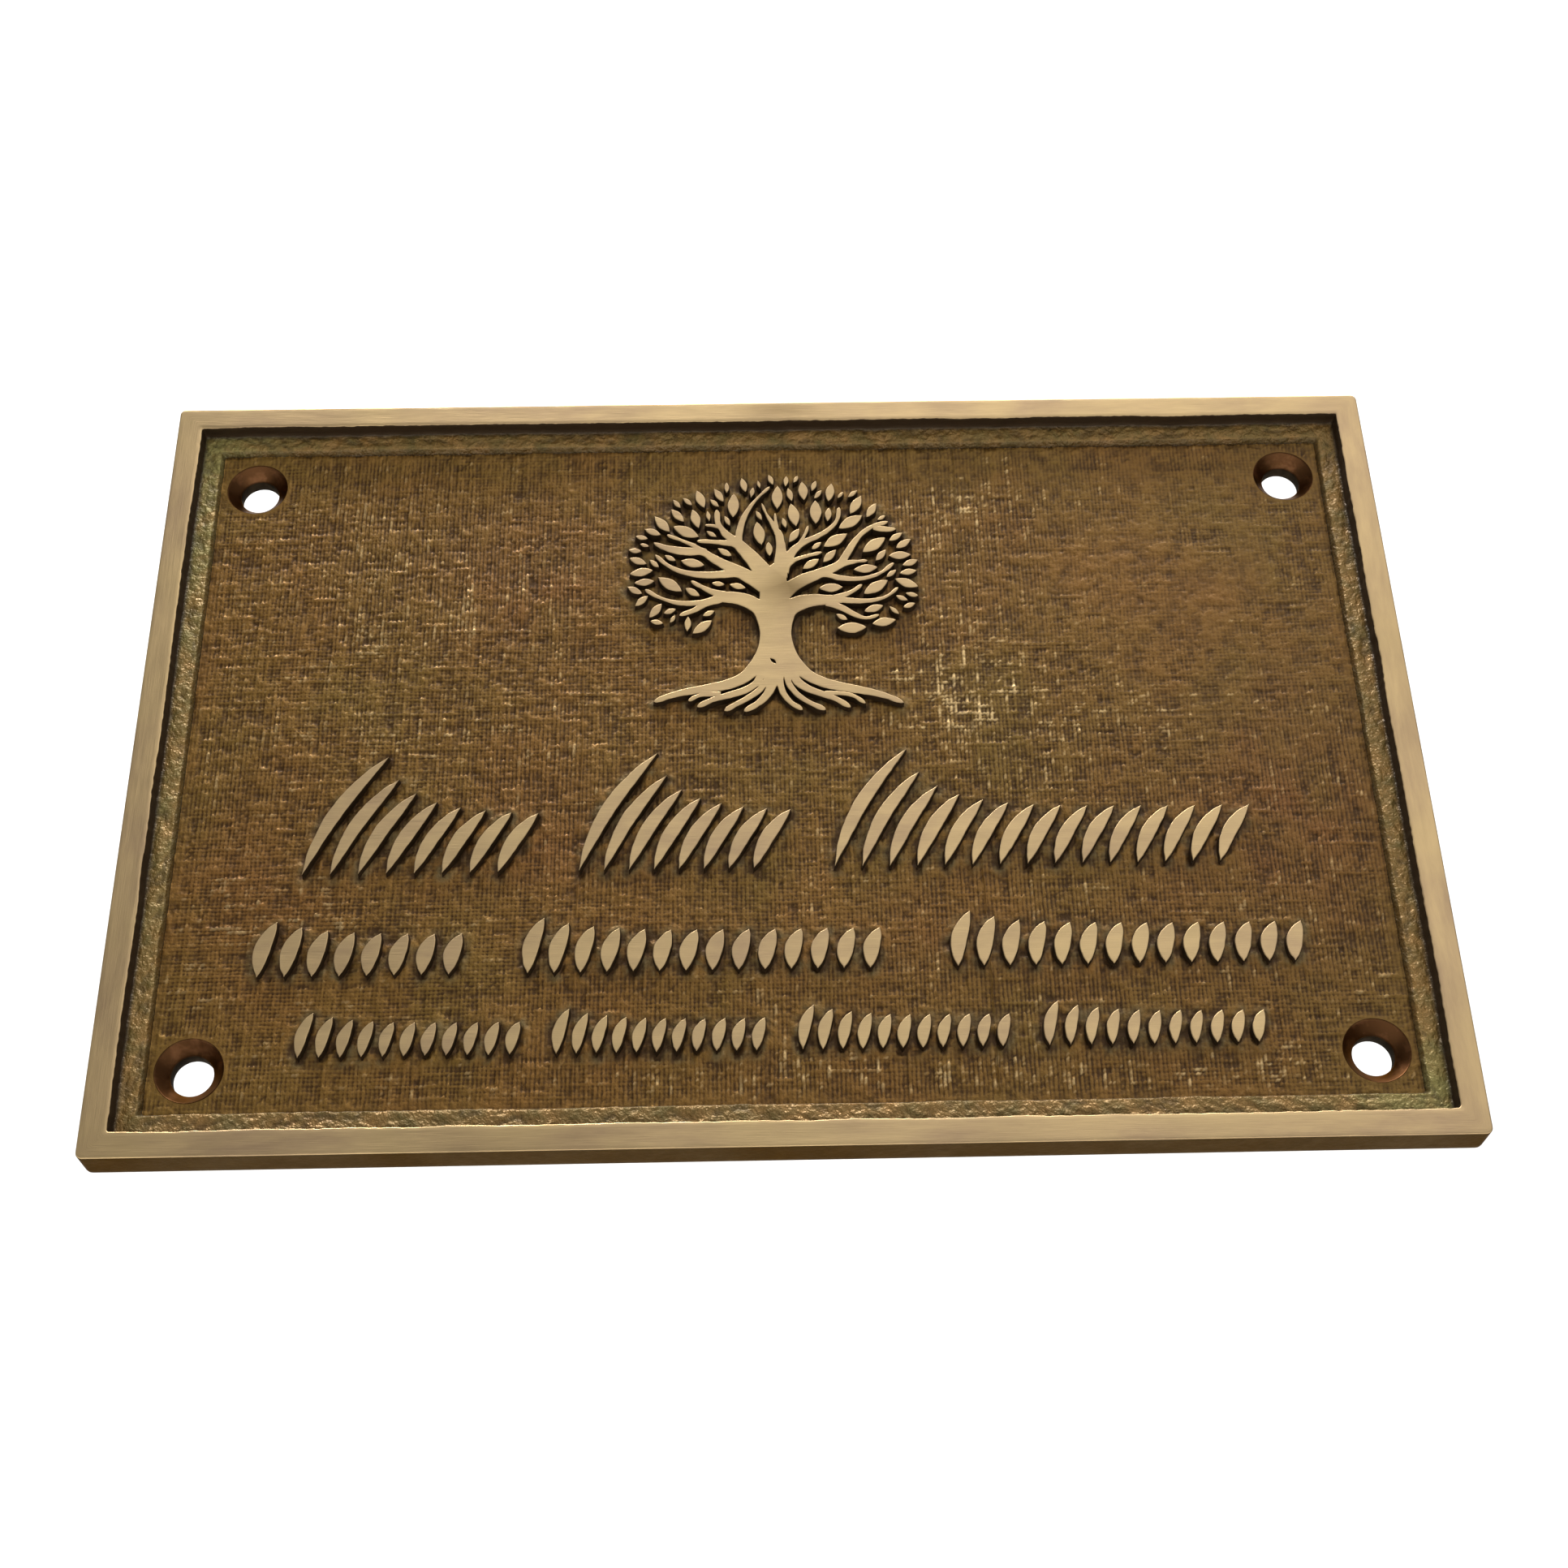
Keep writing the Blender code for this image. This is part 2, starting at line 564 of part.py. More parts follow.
def main():
    clear_scene()
    scene_collection = bpy.context.scene.collection
    made = new_collection("commemorative_plaque", scene_collection)
    cutters = new_collection("cutters", scene_collection)
    recesses = new_collection("recess_cutters", cutters)
    raised = new_collection("raised_bodies", cutters)
    drills = new_collection("hole_cutters", cutters)

    plaque = mesh_object("plaque_casting", plate_body(), made)
    plaque.data.materials.append(bronze_material())

    mesh_object("ledge_recess", recess_cutter(BORDER_WIDTH, LEDGE_DEPTH), recesses)
    mesh_object("field_recess", recess_cutter(FIELD_INSET, FIELD_DEPTH), recesses)
    add_boolean(plaque, "recesses", "DIFFERENCE", recesses)

    mesh_object("raised_work", raised_body(tree_outlines() + stroke_outlines()), raised)
    add_boolean(plaque, "raised_work", "UNION", raised)

    mesh_object("knot", knot_cutter(), drills)
    for side in (-1, 1):
        for level in (-1, 1):
            x = side * (FIELD_HALF_WIDTH - HOLE_SIDE_LAND - COUNTERSINK_DIAMETER / 2)
            z = level * (FIELD_HALF_HEIGHT - HOLE_TOP_LAND - COUNTERSINK_DIAMETER / 2)
            mesh_object("screw_hole", hole_cutter(x, z), drills)
    add_boolean(plaque, "holes", "DIFFERENCE", drills)

    cutters.hide_render = True
    for helper in cutters.all_objects:
        helper.hide_render = True
        helper.display_type = "WIRE"


main()
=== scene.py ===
import json
import math

import bpy
import numpy as np
from mathutils import Matrix, Vector
from mathutils.geometry import delaunay_2d_cdt

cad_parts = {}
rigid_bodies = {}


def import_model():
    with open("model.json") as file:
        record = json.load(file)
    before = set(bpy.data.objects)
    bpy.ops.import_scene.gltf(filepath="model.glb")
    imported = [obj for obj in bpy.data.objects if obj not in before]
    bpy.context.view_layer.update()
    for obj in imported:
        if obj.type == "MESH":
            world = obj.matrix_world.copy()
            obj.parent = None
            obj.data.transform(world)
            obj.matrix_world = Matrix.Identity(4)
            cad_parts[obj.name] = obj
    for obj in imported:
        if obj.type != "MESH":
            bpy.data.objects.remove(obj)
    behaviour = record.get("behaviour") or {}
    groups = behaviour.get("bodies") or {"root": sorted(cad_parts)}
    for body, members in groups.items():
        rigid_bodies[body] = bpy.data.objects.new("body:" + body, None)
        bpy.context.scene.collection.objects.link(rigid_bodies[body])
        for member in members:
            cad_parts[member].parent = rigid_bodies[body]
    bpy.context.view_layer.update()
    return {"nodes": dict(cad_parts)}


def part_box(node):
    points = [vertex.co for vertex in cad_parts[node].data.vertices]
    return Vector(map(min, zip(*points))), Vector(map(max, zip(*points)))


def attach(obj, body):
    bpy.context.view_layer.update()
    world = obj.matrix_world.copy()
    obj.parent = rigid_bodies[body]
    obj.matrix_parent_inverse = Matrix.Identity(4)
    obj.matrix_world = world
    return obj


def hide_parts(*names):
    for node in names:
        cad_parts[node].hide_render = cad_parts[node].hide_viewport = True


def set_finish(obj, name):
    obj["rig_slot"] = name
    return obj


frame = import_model()
cadLow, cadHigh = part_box("plaque_casting")
print("frame loaded")

plate = {
    "halfWidth": cadHigh.x,
    "halfHeight": cadHigh.z,
    "faceY": cadLow.y,
    "thickness": cadHigh.y - cadLow.y,
    "fieldY": -0.0033,
    "fieldInset": 0.00583,  # at the foot of the drafted wall
    "reliefY": -0.0043,
}
holes = {
    "across": 0.0658,
    "up": 0.0398,
    "rim": 0.0038,
    "rimGap": 0.00004,  # between the rim and the field's first points
    "calmWidth": 0.0009,  # the weave is flat at the rim and full this far from it
    "bore": 0.0024,
    "backEdge": 0.0001,  # the bore's chamfer at the back
    "angle": math.radians(82),
    "columns": 64,
}
holePlaces = [(sx * holes["across"], sz * holes["up"]) for sx in (-1, 1) for sz in (-1, 1)]


# Smooth noise from -1 to 1: random numbers on a lattice, blended between with 3t^2 - 2t^3.
# The pattern comes round again after "around" steps of u.
def smoothNoise(u, v, seed, around=256):
    table = np.random.default_rng(seed).uniform(-1, 1, (around, 256))
    lowU = np.floor(u).astype(int)
    lowV = np.floor(v).astype(int)
    partU = u - lowU
    partV = v - lowV
    partU = partU * partU * (3 - 2 * partU)
    partV = partV * partV * (3 - 2 * partV)
    a = table[lowU % around, lowV % 256]
    b = table[(lowU + 1) % around, lowV % 256]
    c = table[lowU % around, (lowV + 1) % 256]
    d = table[(lowU + 1) % around, (lowV + 1) % 256]
    return a + (b - a) * partU + (c - a) * partV + (a - b - c + d) * partU * partV


# 0 below low, 1 above high, and 3t^2 - 2t^3 between
def easeStep(low, high, value):
    t = np.clip((value - low) / (high - low), 0, 1)
    return t * t * (3 - 2 * t)


# A sum of soft spots, each its strength times exp(-(x / radius)^2 - (z / radius)^2) from its middle.
# Each spot is middle x and z, radius along x and along z, all in mm, and strength.
def softSpots(x, z, spots):
    total = np.zeros(np.shape(x))
    for spotX, spotZ, radiusX, radiusZ, strength in spots:
        across = (x * 1000 - spotX) / radiusX
        up = (z * 1000 - spotZ) / radiusZ
        total = total + strength * np.exp(-across * across - up * up)
    return total


# One mesh piece of the casting. faceSets are (corners, material number, smooth), one row of corners a face.
def makePiece(name, points, faceSets, materials, values, grain=None):
    mesh = bpy.data.meshes.new(name)
    corners = np.concatenate([faces.ravel() for faces, _, _ in faceSets]).astype(np.int32)
    counts = np.concatenate([np.full(len(faces), faces.shape[1]) for faces, _, _ in faceSets])
    starts = np.concatenate(([0], np.cumsum(counts)[:-1])).astype(np.int32)
    mesh.vertices.add(len(points))
    mesh.vertices.foreach_set("co", np.asarray(points, np.float32).ravel())
    mesh.loops.add(len(corners))
    mesh.loops.foreach_set("vertex_index", corners)
    mesh.polygons.add(len(counts))
    mesh.polygons.foreach_set("loop_start", starts)
    for material in materials:
        mesh.materials.append(material)
    numbers = np.concatenate([np.full(len(faces), number) for faces, number, _ in faceSets])
    rounded = np.concatenate([np.full(len(faces), smooth) for faces, _, smooth in faceSets])
    mesh.polygons.foreach_set("material_index", numbers.astype(np.int32))
    mesh.polygons.foreach_set("use_smooth", rounded)
    for key, value in values.items():
        layer = mesh.attributes.new(key, "FLOAT", "POINT")
        layer.data.foreach_set("value", np.asarray(value, np.float32).ravel())
    if grain is None:
        grain = np.asarray(points)[corners][:, (0, 2)]
    layer = mesh.uv_layers.new(name="grain")
    layer.uv.foreach_set("vector", np.asarray(grain, np.float32).ravel())
    mesh.update(calc_edges=True)
    mesh.validate()
    piece = bpy.data.objects.new(name, mesh)
    bpy.context.scene.collection.objects.link(piece)
    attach(piece, "root")
    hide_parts("plaque_casting")
    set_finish(piece, "cast_bronze")


# Corners of the squares of a grid of rows and columns, round once more to the first column if closed
def gridFaces(rows, columns, closed=False):
    index = np.arange(rows * columns).reshape(rows, columns)
    if closed:
        index = np.concatenate((index, index[:, :1]), axis=1)
    return np.stack((index[:-1, :-1], index[1:, :-1], index[1:, 1:], index[:-1, 1:]), axis=-1).reshape(-1, 4)


# Finishes

def addNode(tree, kind, inputs=None, **settings):
    made = tree.nodes.new("ShaderNode" + kind)
    for key, value in settings.items():
        setattr(made, key, value)
    for key, value in (inputs or {}).items():
        if isinstance(value, bpy.types.NodeSocket):
            tree.links.new(value, made.inputs[key])
        else:
            made.inputs[key].default_value = value
    return made


def mixColour(tree, factor, a, b, blend="MIX"):
    return addNode(tree, "Mix", {0: factor, 6: a, 7: b}, data_type="RGBA", blend_type=blend).outputs[2]


# The colour times one number
def shadeColour(tree, colour, shade):
    grey = addNode(tree, "CombineColor", {0: shade, 1: shade, 2: shade}).outputs[0]
    return mixColour(tree, 1.0, colour, grey, "MULTIPLY")


def remap(tree, value, low, high, lowOut=0.0, highOut=1.0):
    made = addNode(tree, "MapRange", {"Value": value, "From Min": low, "From Max": high,
                                      "To Min": lowOut, "To Max": highOut})
    return made.outputs["Result"]


def calculate(tree, operation, a, b=0.0):
    return addNode(tree, "Math", {0: a, 1: b}, operation=operation).outputs[0]


def noiseMask(tree, vector, scale, detail, rough, distortion):
    made = addNode(tree, "TexNoise", {"Vector": vector, "Scale": scale, "Detail": detail,
                                      "Roughness": rough, "Distortion": distortion})
    return made.outputs[0]


def pointValue(tree, name):
    return addNode(tree, "Attribute", attribute_name=name).outputs["Fac"]


def newGroup(name, masks):
    tree = bpy.data.node_groups.new(name, "ShaderNodeTree")
    for mask in masks:
        tree.interface.new_socket(name=mask, in_out="OUTPUT", socket_type="NodeSocketFloat")
    return tree, tree.nodes.new("NodeGroupOutput")


# Each mask is noise cells a metre, detail, roughness, distortion, and the noise that becomes 0 and 1.
# The brush's have cells a metre along and across the brushing.
patinaMasks = {
    "Clouds": (55.0, 3.0, 0.55, 0.6, 0.32, 0.68),
    "Mottle": (420.0, 3.0, 0.6, 0.3, 0.3, 0.7),
    "Pits": (1500.0, 2.0, 0.6, 0.0, 0.3, 0.7),
}
brushMasks = {
    "Lines": ((220.0, 9000.0, 1.0), 2.0, 0.6, 0.0, 0.3, 0.7),
    "Smears": ((90.0, 420.0, 1.0), 4.0, 0.65, 0.15, 0.32, 0.68),
}


# Clouds, mottle and fine pits of the patina, each from 0 to 1
def cloudGroup():
    tree, out = newGroup("patinaClouds", patinaMasks)
    place = addNode(tree, "TexCoord").outputs["Object"]
    for name, (cells, detail, rough, distortion, low, high) in patinaMasks.items():
        noise = noiseMask(tree, place, cells, detail, rough, distortion)
        tree.links.new(remap(tree, noise, low, high), out.inputs[name])
    return tree


# Fine lines and soft smears left by the brush, which run along the first axis of the grain map
def brushGroup():
    tree, out = newGroup("brushLines", brushMasks)
    grain = addNode(tree, "UVMap", uv_map="grain").outputs["UV"]
    for name, (cells, detail, rough, distortion, low, high) in brushMasks.items():
        place = addNode(tree, "Mapping", {"Vector": grain, "Scale": cells}).outputs[0]
        noise = noiseMask(tree, place, 1.0, detail, rough, distortion)
        tree.links.new(remap(tree, noise, low, high), out.inputs[name])
    return tree


cloudTree = cloudGroup()
brushTree = brushGroup()


def newMaterial(name):
    material = bpy.data.materials.new(name)
    material.use_nodes = True
    tree = material.node_tree
    shader = tree.nodes["Principled BSDF"]
    clouds = tree.nodes.new("ShaderNodeGroup")
    clouds.node_tree = cloudTree
    return material, tree, shader, clouds.outputs


def addBump(tree, shader, height, strength, distance):
    made = addNode(tree, "Bump", {"Height": height, "Strength": strength, "Distance": distance})
    tree.links.new(made.outputs[0], shader.inputs["Normal"])


# What the plain finishes share: constants of their own, roughness that follows a mask, and bump
def connectPlain(tree, shader, finish, colour, mask, height):
    tree.links.new(colour, shader.inputs["Base Color"])
    shader.inputs["Metallic"].default_value = finish["metallic"]
    if "edgeTint" in finish:
        shader.inputs["Specular Tint"].default_value = finish["edgeTint"]
    tree.links.new(remap(tree, mask, 0, 1, *finish["rough"]), shader.inputs["Roughness"])
    addBump(tree, shader, height, *finish["bump"])


# In each finish, rough is the lowest and highest roughness, and bump is strength and distance
brushedFinish = {
    "gold": (0.59, 0.425, 0.212, 1),
    "pink": (0.46, 0.315, 0.186, 1),
    "stain": (0.17, 0.11, 0.045, 1),
    "wall": (0.040, 0.022, 0.008, 1),
    "smearShade": (1.03, 0.88),
    "lineShade": (-0.03, 0.03),
    "wallMetallic": 0.7,
    "wallRough": 0.62,
    "rough": (0.34, 0.46),
    "bump": (0.35, 0.00002),
}


# High faces, brushed back to metal: the wear value is 1 there and 0 on the dark walls below them
def brushedMaterial():
    material, tree, shader, clouds = newMaterial("brushed_bronze")
    brush = tree.nodes.new("ShaderNodeGroup")
    brush.node_tree = brushTree
    lines, smears = brush.outputs["Lines"], brush.outputs["Smears"]
    cloudy = calculate(tree, "MULTIPLY", clouds["Clouds"], remap(tree, smears, 0.0, 1.0, 0.35, 1.0))
    colour = mixColour(tree, cloudy, brushedFinish["gold"], brushedFinish["pink"])
    shade = calculate(tree, "ADD", remap(tree, smears, 0.0, 1.0, *brushedFinish["smearShade"]),
                      remap(tree, lines, 0.0, 1.0, *brushedFinish["lineShade"]))
    colour = shadeColour(tree, colour, shade)
    colour = mixColour(tree, pointValue(tree, "stain"), colour, brushedFinish["stain"])
    ragged = remap(tree, clouds["Pits"], 0, 1, -0.16, 0.16)
    edge = remap(tree, calculate(tree, "ADD", pointValue(tree, "wearAndShade"), ragged), 0.35, 0.72)
    tree.links.new(mixColour(tree, edge, brushedFinish["wall"], colour), shader.inputs["Base Color"])
    tree.links.new(remap(tree, edge, 0, 1, brushedFinish["wallMetallic"], 1.0), shader.inputs["Metallic"])
    rough = remap(tree, lines, 0, 1, *brushedFinish["rough"])
    rough = addNode(tree, "Mix", {0: edge, 2: brushedFinish["wallRough"], 3: rough}).outputs[0]
    tree.links.new(rough, shader.inputs["Roughness"])
    addBump(tree, shader, lines, *brushedFinish["bump"])
    return material


fieldFinish = {
    "brown": (0.260, 0.126, 0.027, 1),
    "red": (0.260, 0.104, 0.029, 1),
    "olive": (0.225, 0.128, 0.025, 1),
    "deep": (0.054, 0.024, 0.006, 1),
    "grey": (0.17, 0.120, 0.048, 1),
    "fleck": (0.68, 0.48, 0.23, 1),
    # The next two set a painted shade: the field's colour darkens towards the right, against the light that
    # falls more there
    "rightPaintedShade": 0.72,
    "shadeReach": 0.07,  # the shade grows from this far left of the middle to this far right
    "patinaMetallic": 0.7,
    "rough": (0.42, 0.3),  # patina, bright metal
    "roughSpread": 0.06,
    "bump": (0.8, 0.00005),
}


# Woven field: patina in the hollows and between the raised work, bright metal on the highest threads with
# painted glints in the bright places, painted shade with patina at the foot of the raised work, and painted
# shade towards the right
def fieldMaterial():
    material, tree, shader, clouds = newMaterial("woven_bronze")
    colour = mixColour(tree, clouds["Clouds"], fieldFinish["brown"], fieldFinish["olive"])
    colour = mixColour(tree, pointValue(tree, "reddish"), colour, fieldFinish["red"])
    near = calculate(tree, "MULTIPLY", pointValue(tree, "near"), remap(tree, clouds["Mottle"], 0.25, 0.8))
    colour = mixColour(tree, near, colour, fieldFinish["grey"])
    # Deep patina in the weave's hollows, and painted shade with patina at the foot of the raised work
    hollow = remap(tree, pointValue(tree, "height"), 0.6, 0.05, 0.0, 0.9)
    colour = mixColour(tree, hollow, colour, fieldFinish["deep"])
    place = addNode(tree, "TexCoord").outputs["Object"]
    across = addNode(tree, "SeparateXYZ", {0: place}).outputs["X"]
    # Painted shade: the colour darkens from left of the middle towards the right
    reach = fieldFinish["shadeReach"]
    colour = shadeColour(tree, colour, remap(tree, across, -reach, reach, 1.0, fieldFinish["rightPaintedShade"]))
    # Flecks of bright metal: wear, and painted glints in the bright places
    wearAndGlints = pointValue(tree, "wearAndGlints")
    tree.links.new(mixColour(tree, wearAndGlints, colour, fieldFinish["fleck"]), shader.inputs["Base Color"])
    tree.links.new(remap(tree, wearAndGlints, 0, 0.6, fieldFinish["patinaMetallic"], 1.0), shader.inputs["Metallic"])
    spread = remap(tree, clouds["Mottle"], 0, 1, -fieldFinish["roughSpread"], fieldFinish["roughSpread"])
    rough = calculate(tree, "ADD", remap(tree, wearAndGlints, 0, 1, *fieldFinish["rough"]), spread)
    tree.links.new(rough, shader.inputs["Roughness"])
    addBump(tree, shader, clouds["Pits"], *fieldFinish["bump"])
    return material


ledgeFinish = {
    "brown": (0.29, 0.158, 0.042, 1),
    "green": (0.155, 0.106, 0.026, 1),
    "verdigris": (0.27, 0.228, 0.068, 1),
    "deep": (0.022, 0.012, 0.004, 1),
    "metallic": 0.42,
    "rough": (0.32, 0.55),
    "bump": (0.9, 0.00016),
}


# Rough cast ledge, with verdigris in two of its corners, a dark patinated step down to the field, and painted
# shade at the foot of the border's wall and in the hollows of its grit
def ledgeMaterial():
    material, tree, shader, clouds = newMaterial("cast_ledge")
    mottle = clouds["Mottle"]
    colour = mixColour(tree, mottle, ledgeFinish["brown"], ledgeFinish["green"])
    green = calculate(tree, "MULTIPLY", pointValue(tree, "green"), remap(tree, mottle, 0.1, 0.9, 0.4, 1.0))
    colour = mixColour(tree, green, colour, ledgeFinish["verdigris"])
    # Darker where the wear value is low: patina on the step, painted shade at the wall's foot and in the
    # grit's hollows
    colour = mixColour(tree, remap(tree, pointValue(tree, "wearAndShade"), 0.9, 0.0), colour, ledgeFinish["deep"])
    connectPlain(tree, shader, ledgeFinish, colour, mottle, calculate(tree, "ADD", clouds["Pits"], mottle))
    return material


sideFinish = {
    "brown": (0.050, 0.029, 0.013, 1),
    "grey": (0.068, 0.047, 0.026, 1),
    "edgeTint": (0.55, 0.48, 0.42, 1),
    "metallic": 1.0,
    "rough": (0.38, 0.52),
    "bump": (0.35, 0.00004),
}
backFinish = {
    "brown": (0.060, 0.038, 0.018, 1),
    "light": (0.105, 0.066, 0.030, 1),
    "dark": (0.034, 0.022, 0.011, 1),
    "metallic": 0.9,
    "rough": (0.42, 0.58),
    "bump": (0.6, 0.00007),
}


def sideMaterial():
    material, tree, shader, clouds = newMaterial("cast_side")
    colour = mixColour(tree, clouds["Clouds"], sideFinish["brown"], sideFinish["grey"])
    colour = mixColour(tree, remap(tree, clouds["Mottle"], 0.5, 1.0, 0.0, 0.5), colour, backFinish["brown"])
    connectPlain(tree, shader, sideFinish, colour, clouds["Mottle"], clouds["Pits"])
    return material


def backMaterial():
    material, tree, shader, clouds = newMaterial("cast_back")
    colour = mixColour(tree, clouds["Clouds"], backFinish["brown"], backFinish["light"])
    colour = mixColour(tree, remap(tree, clouds["Mottle"], 0.0, 1.0, 0.0, 0.3), colour, backFinish["dark"])
    height = calculate(tree, "ADD", clouds["Pits"], clouds["Mottle"])
    connectPlain(tree, shader, backFinish, colour, clouds["Clouds"], height)
    return material


sinkFinish = {
    "copper": (0.095, 0.042, 0.016, 1),
    "bright": (0.26, 0.115, 0.050, 1),
    "dark": (0.008, 0.005, 0.002, 1),
    "edgeTint": (0.55, 0.45, 0.38, 1),
    "metallic": 1.0,
    "rough": (0.34, 0.46),
    "bump": (0.2, 0.00003),
    "boreRough": 0.9,
    "boreShine": 0.05,
}


# Countersinks are smooth and reddish, and darker at the rim and, as painted shadow, at the bore's edge
def sinkMaterial():
    material, tree, shader, clouds = newMaterial("countersink_copper")
    gleam = remap(tree, clouds["Mottle"], 0.45, 1.0, 0.0, 0.6)
    colour = mixColour(tree, gleam, sinkFinish["copper"], sinkFinish["bright"])
    # Darker where the wear value is low: at the rim, and as painted shadow at the bore's edge
    edge = remap(tree, pointValue(tree, "wearAndShade"), 0.95, 0.4, 0.0, 0.7)
    colour = mixColour(tree, edge, colour, sinkFinish["dark"])
    connectPlain(tree, shader, sinkFinish, colour, clouds["Mottle"], clouds["Pits"])
    return material


# The bore is near-black, not metal and barely shiny: painted shade inside the hole
def boreMaterial():
    material, tree, shader, clouds = newMaterial("dark_bore")
    colour = mixColour(tree, clouds["Mottle"], sinkFinish["dark"], backFinish["dark"])
    tree.links.new(colour, shader.inputs["Base Color"])
    shader.inputs["Metallic"].default_value = 0.0
    shader.inputs["Roughness"].default_value = sinkFinish["boreRough"]
    shader.inputs["Specular IOR Level"].default_value = sinkFinish["boreShine"]
    return material


brushed = brushedMaterial()
woven = fieldMaterial()
ledge = ledgeMaterial()
side = sideMaterial()
back = backMaterial()
sink = sinkMaterial()
bore = boreMaterial()
print("finishes made")


# Border, ledge and sides, carried round as one profile

shell = {
    "longColumns": 440,
    "shortColumns": 300,
    "cornerColumns": 5,
    "cornerRadius": 0.0008,
    "leastRadius": 0.00005,
    "innerRadius": 0.0003,
    "innerFrom": 0.0028,  # the inset from which corners have the inner radius
    "backRadius": 0.0020,
    "ledgeRough": 0.00010,
    # hollowDark is painted shade: how much darker the ledge is in the hollows of its grit
    "hollowDark": 0.45,
    "edgeWave": 0.00009,
    "cornerReach": 0.0003,  # points this close to a corner's diagonal move both ways
    "waveSteps": (90, 800),  # cells of the edges' waves round the plaque, broad and fine
    "waveCells": (700, 900),  # and to a metre of inset
    "gritSteps": (170, 760),  # cells of the ledge's grit round the plaque
    "gritSizes": (0.0009, 0.0006),  # and their size across the profile
    "stain": [(1.0, 49.6, 4.5, 1.3, 0.45), (-30.0, -50.0, 12.0, 3.0, 0.18), (75.0, 12.0, 3.0, 14.0, 0.12)],
    "green": [(-73.0, 47.0, 9.0, 9.0, 1.0), (-73.0, 32.0, 4.0, 16.0, 0.8), (72.0, -45.0, 9.0, 6.0, 1.0),
              (-73.0, -10.0, 4.0, 20.0, 0.3)],
}


# Points round a rectangle with rounded corners, counter-clockwise from the front, the same number each time.
# Each row of a grid has its own half sizes and corner radius.
def rectangleRings(halfWidth, halfHeight, radius):
    long, short, turn = shell["longColumns"], shell["shortColumns"], shell["cornerColumns"]
    sides = ((long, (-1, -1), (1, -1)), (short, (1, -1), (1, 1)),
             (long, (1, 1), (-1, 1)), (short, (-1, 1), (-1, -1)))
    reach = np.stack((halfWidth - radius, halfHeight - radius))[None]
    along = []
    for count, start, end in sides:
        start, end = np.array(start), np.array(end)
        flat = start + (end - start) * np.linspace(0, 1, count)[:, None]
        begin = math.atan2(end[1], end[0]) - math.pi / 4
        first = np.array((math.cos(begin), math.sin(begin)))
        angles = begin + np.linspace(0, math.pi / 2, turn + 2)[1:-1]
        bend = np.stack((np.cos(angles), np.sin(angles)), axis=1)
        along.append(flat[:, :, None] * reach + first[None, :, None] * radius)
        along.append(end[None, :, None] * reach + bend[:, :, None] * radius)
    return np.concatenate(along).transpose(2, 0, 1)


# The profile runs from under the field's edge out to the back face. Each row is inset from the outer edge,
# depth below the border's face, wear (low on the dark walls, and low on the ledge at the foot of the border's
# wall as painted shade), finish (0 brushed, 1 ledge, 2 side), wave and roughness.
def shellProfile():
    rows = [
        (0.00590, 0.0032, 0.0, 1, 0.0, 0.0),
        (0.00584, 0.0027, 0.1, 1, 0.0, 0.0),
        (0.00575, 0.0024, 0.42, 1, 0.4, 0.2),
        (0.00563, 0.00208, 0.5, 1, 0.8, 0.4),
        (0.00552, 0.00189, 0.6, 1, 1.0, 0.5),
        (0.00541, 0.00181, 1.0, 1, 1.0, 0.6),
    ]
    rows += [(inset, 0.0018, 1.0, 1, 0.3, 1.0) for inset in np.linspace(0.0052, 0.0038, 7)]
    rows += [
        (0.00355, 0.00180, 0.6, 1, 0.3, 0.9),
        (0.00335, 0.00178, 0.25, 1, 0.3, 0.6),
        (0.00321, 0.00168, 0.05, 1, 0.6, 0.3),
        (0.00312, 0.0011, 0.0, 0, 0.8, 0.2),
        (0.00306, 0.0005, 0.0, 0, 1.0, 0.2),
        (0.00302, 0.00012, 0.25, 0, 1.0, 0.1),
        (0.00297, 0.00003, 0.8, 0, 1.0, 0.0),
        (0.00289, 0.0, 1.0, 0, 1.0, 0.0),
    ]
    rows += [(inset, 0.0, 1.0, 0, 0.0, 0.0) for inset in np.linspace(0.0025, 0.0006, 5)]
    rows += [
        (0.00022, 0.0, 1.0, 0, 0.0, 0.0),
        (0.00010, 0.00002, 1.0, 0, 0.0, 0.0),
        (0.00003, 0.00007, 0.9, 0, 0.0, 0.0),
        (0.0, 0.00017, 0.7, 2, 0.0, 0.0),
    ]
    radius = shell["backRadius"]
    straight = plate["thickness"] - radius
    rows += [(0.0, depth, 0.5, 2, 0.0, 0.0) for depth in np.linspace(0.0008, straight, 6)]
    rows += [
        (radius * (1 - math.cos(angle)), straight + radius * math.sin(angle), 0.5, 2, 0.0, 0.0)
        for angle in np.radians(np.linspace(12, 90, 8))
    ]
    return np.array(rows)


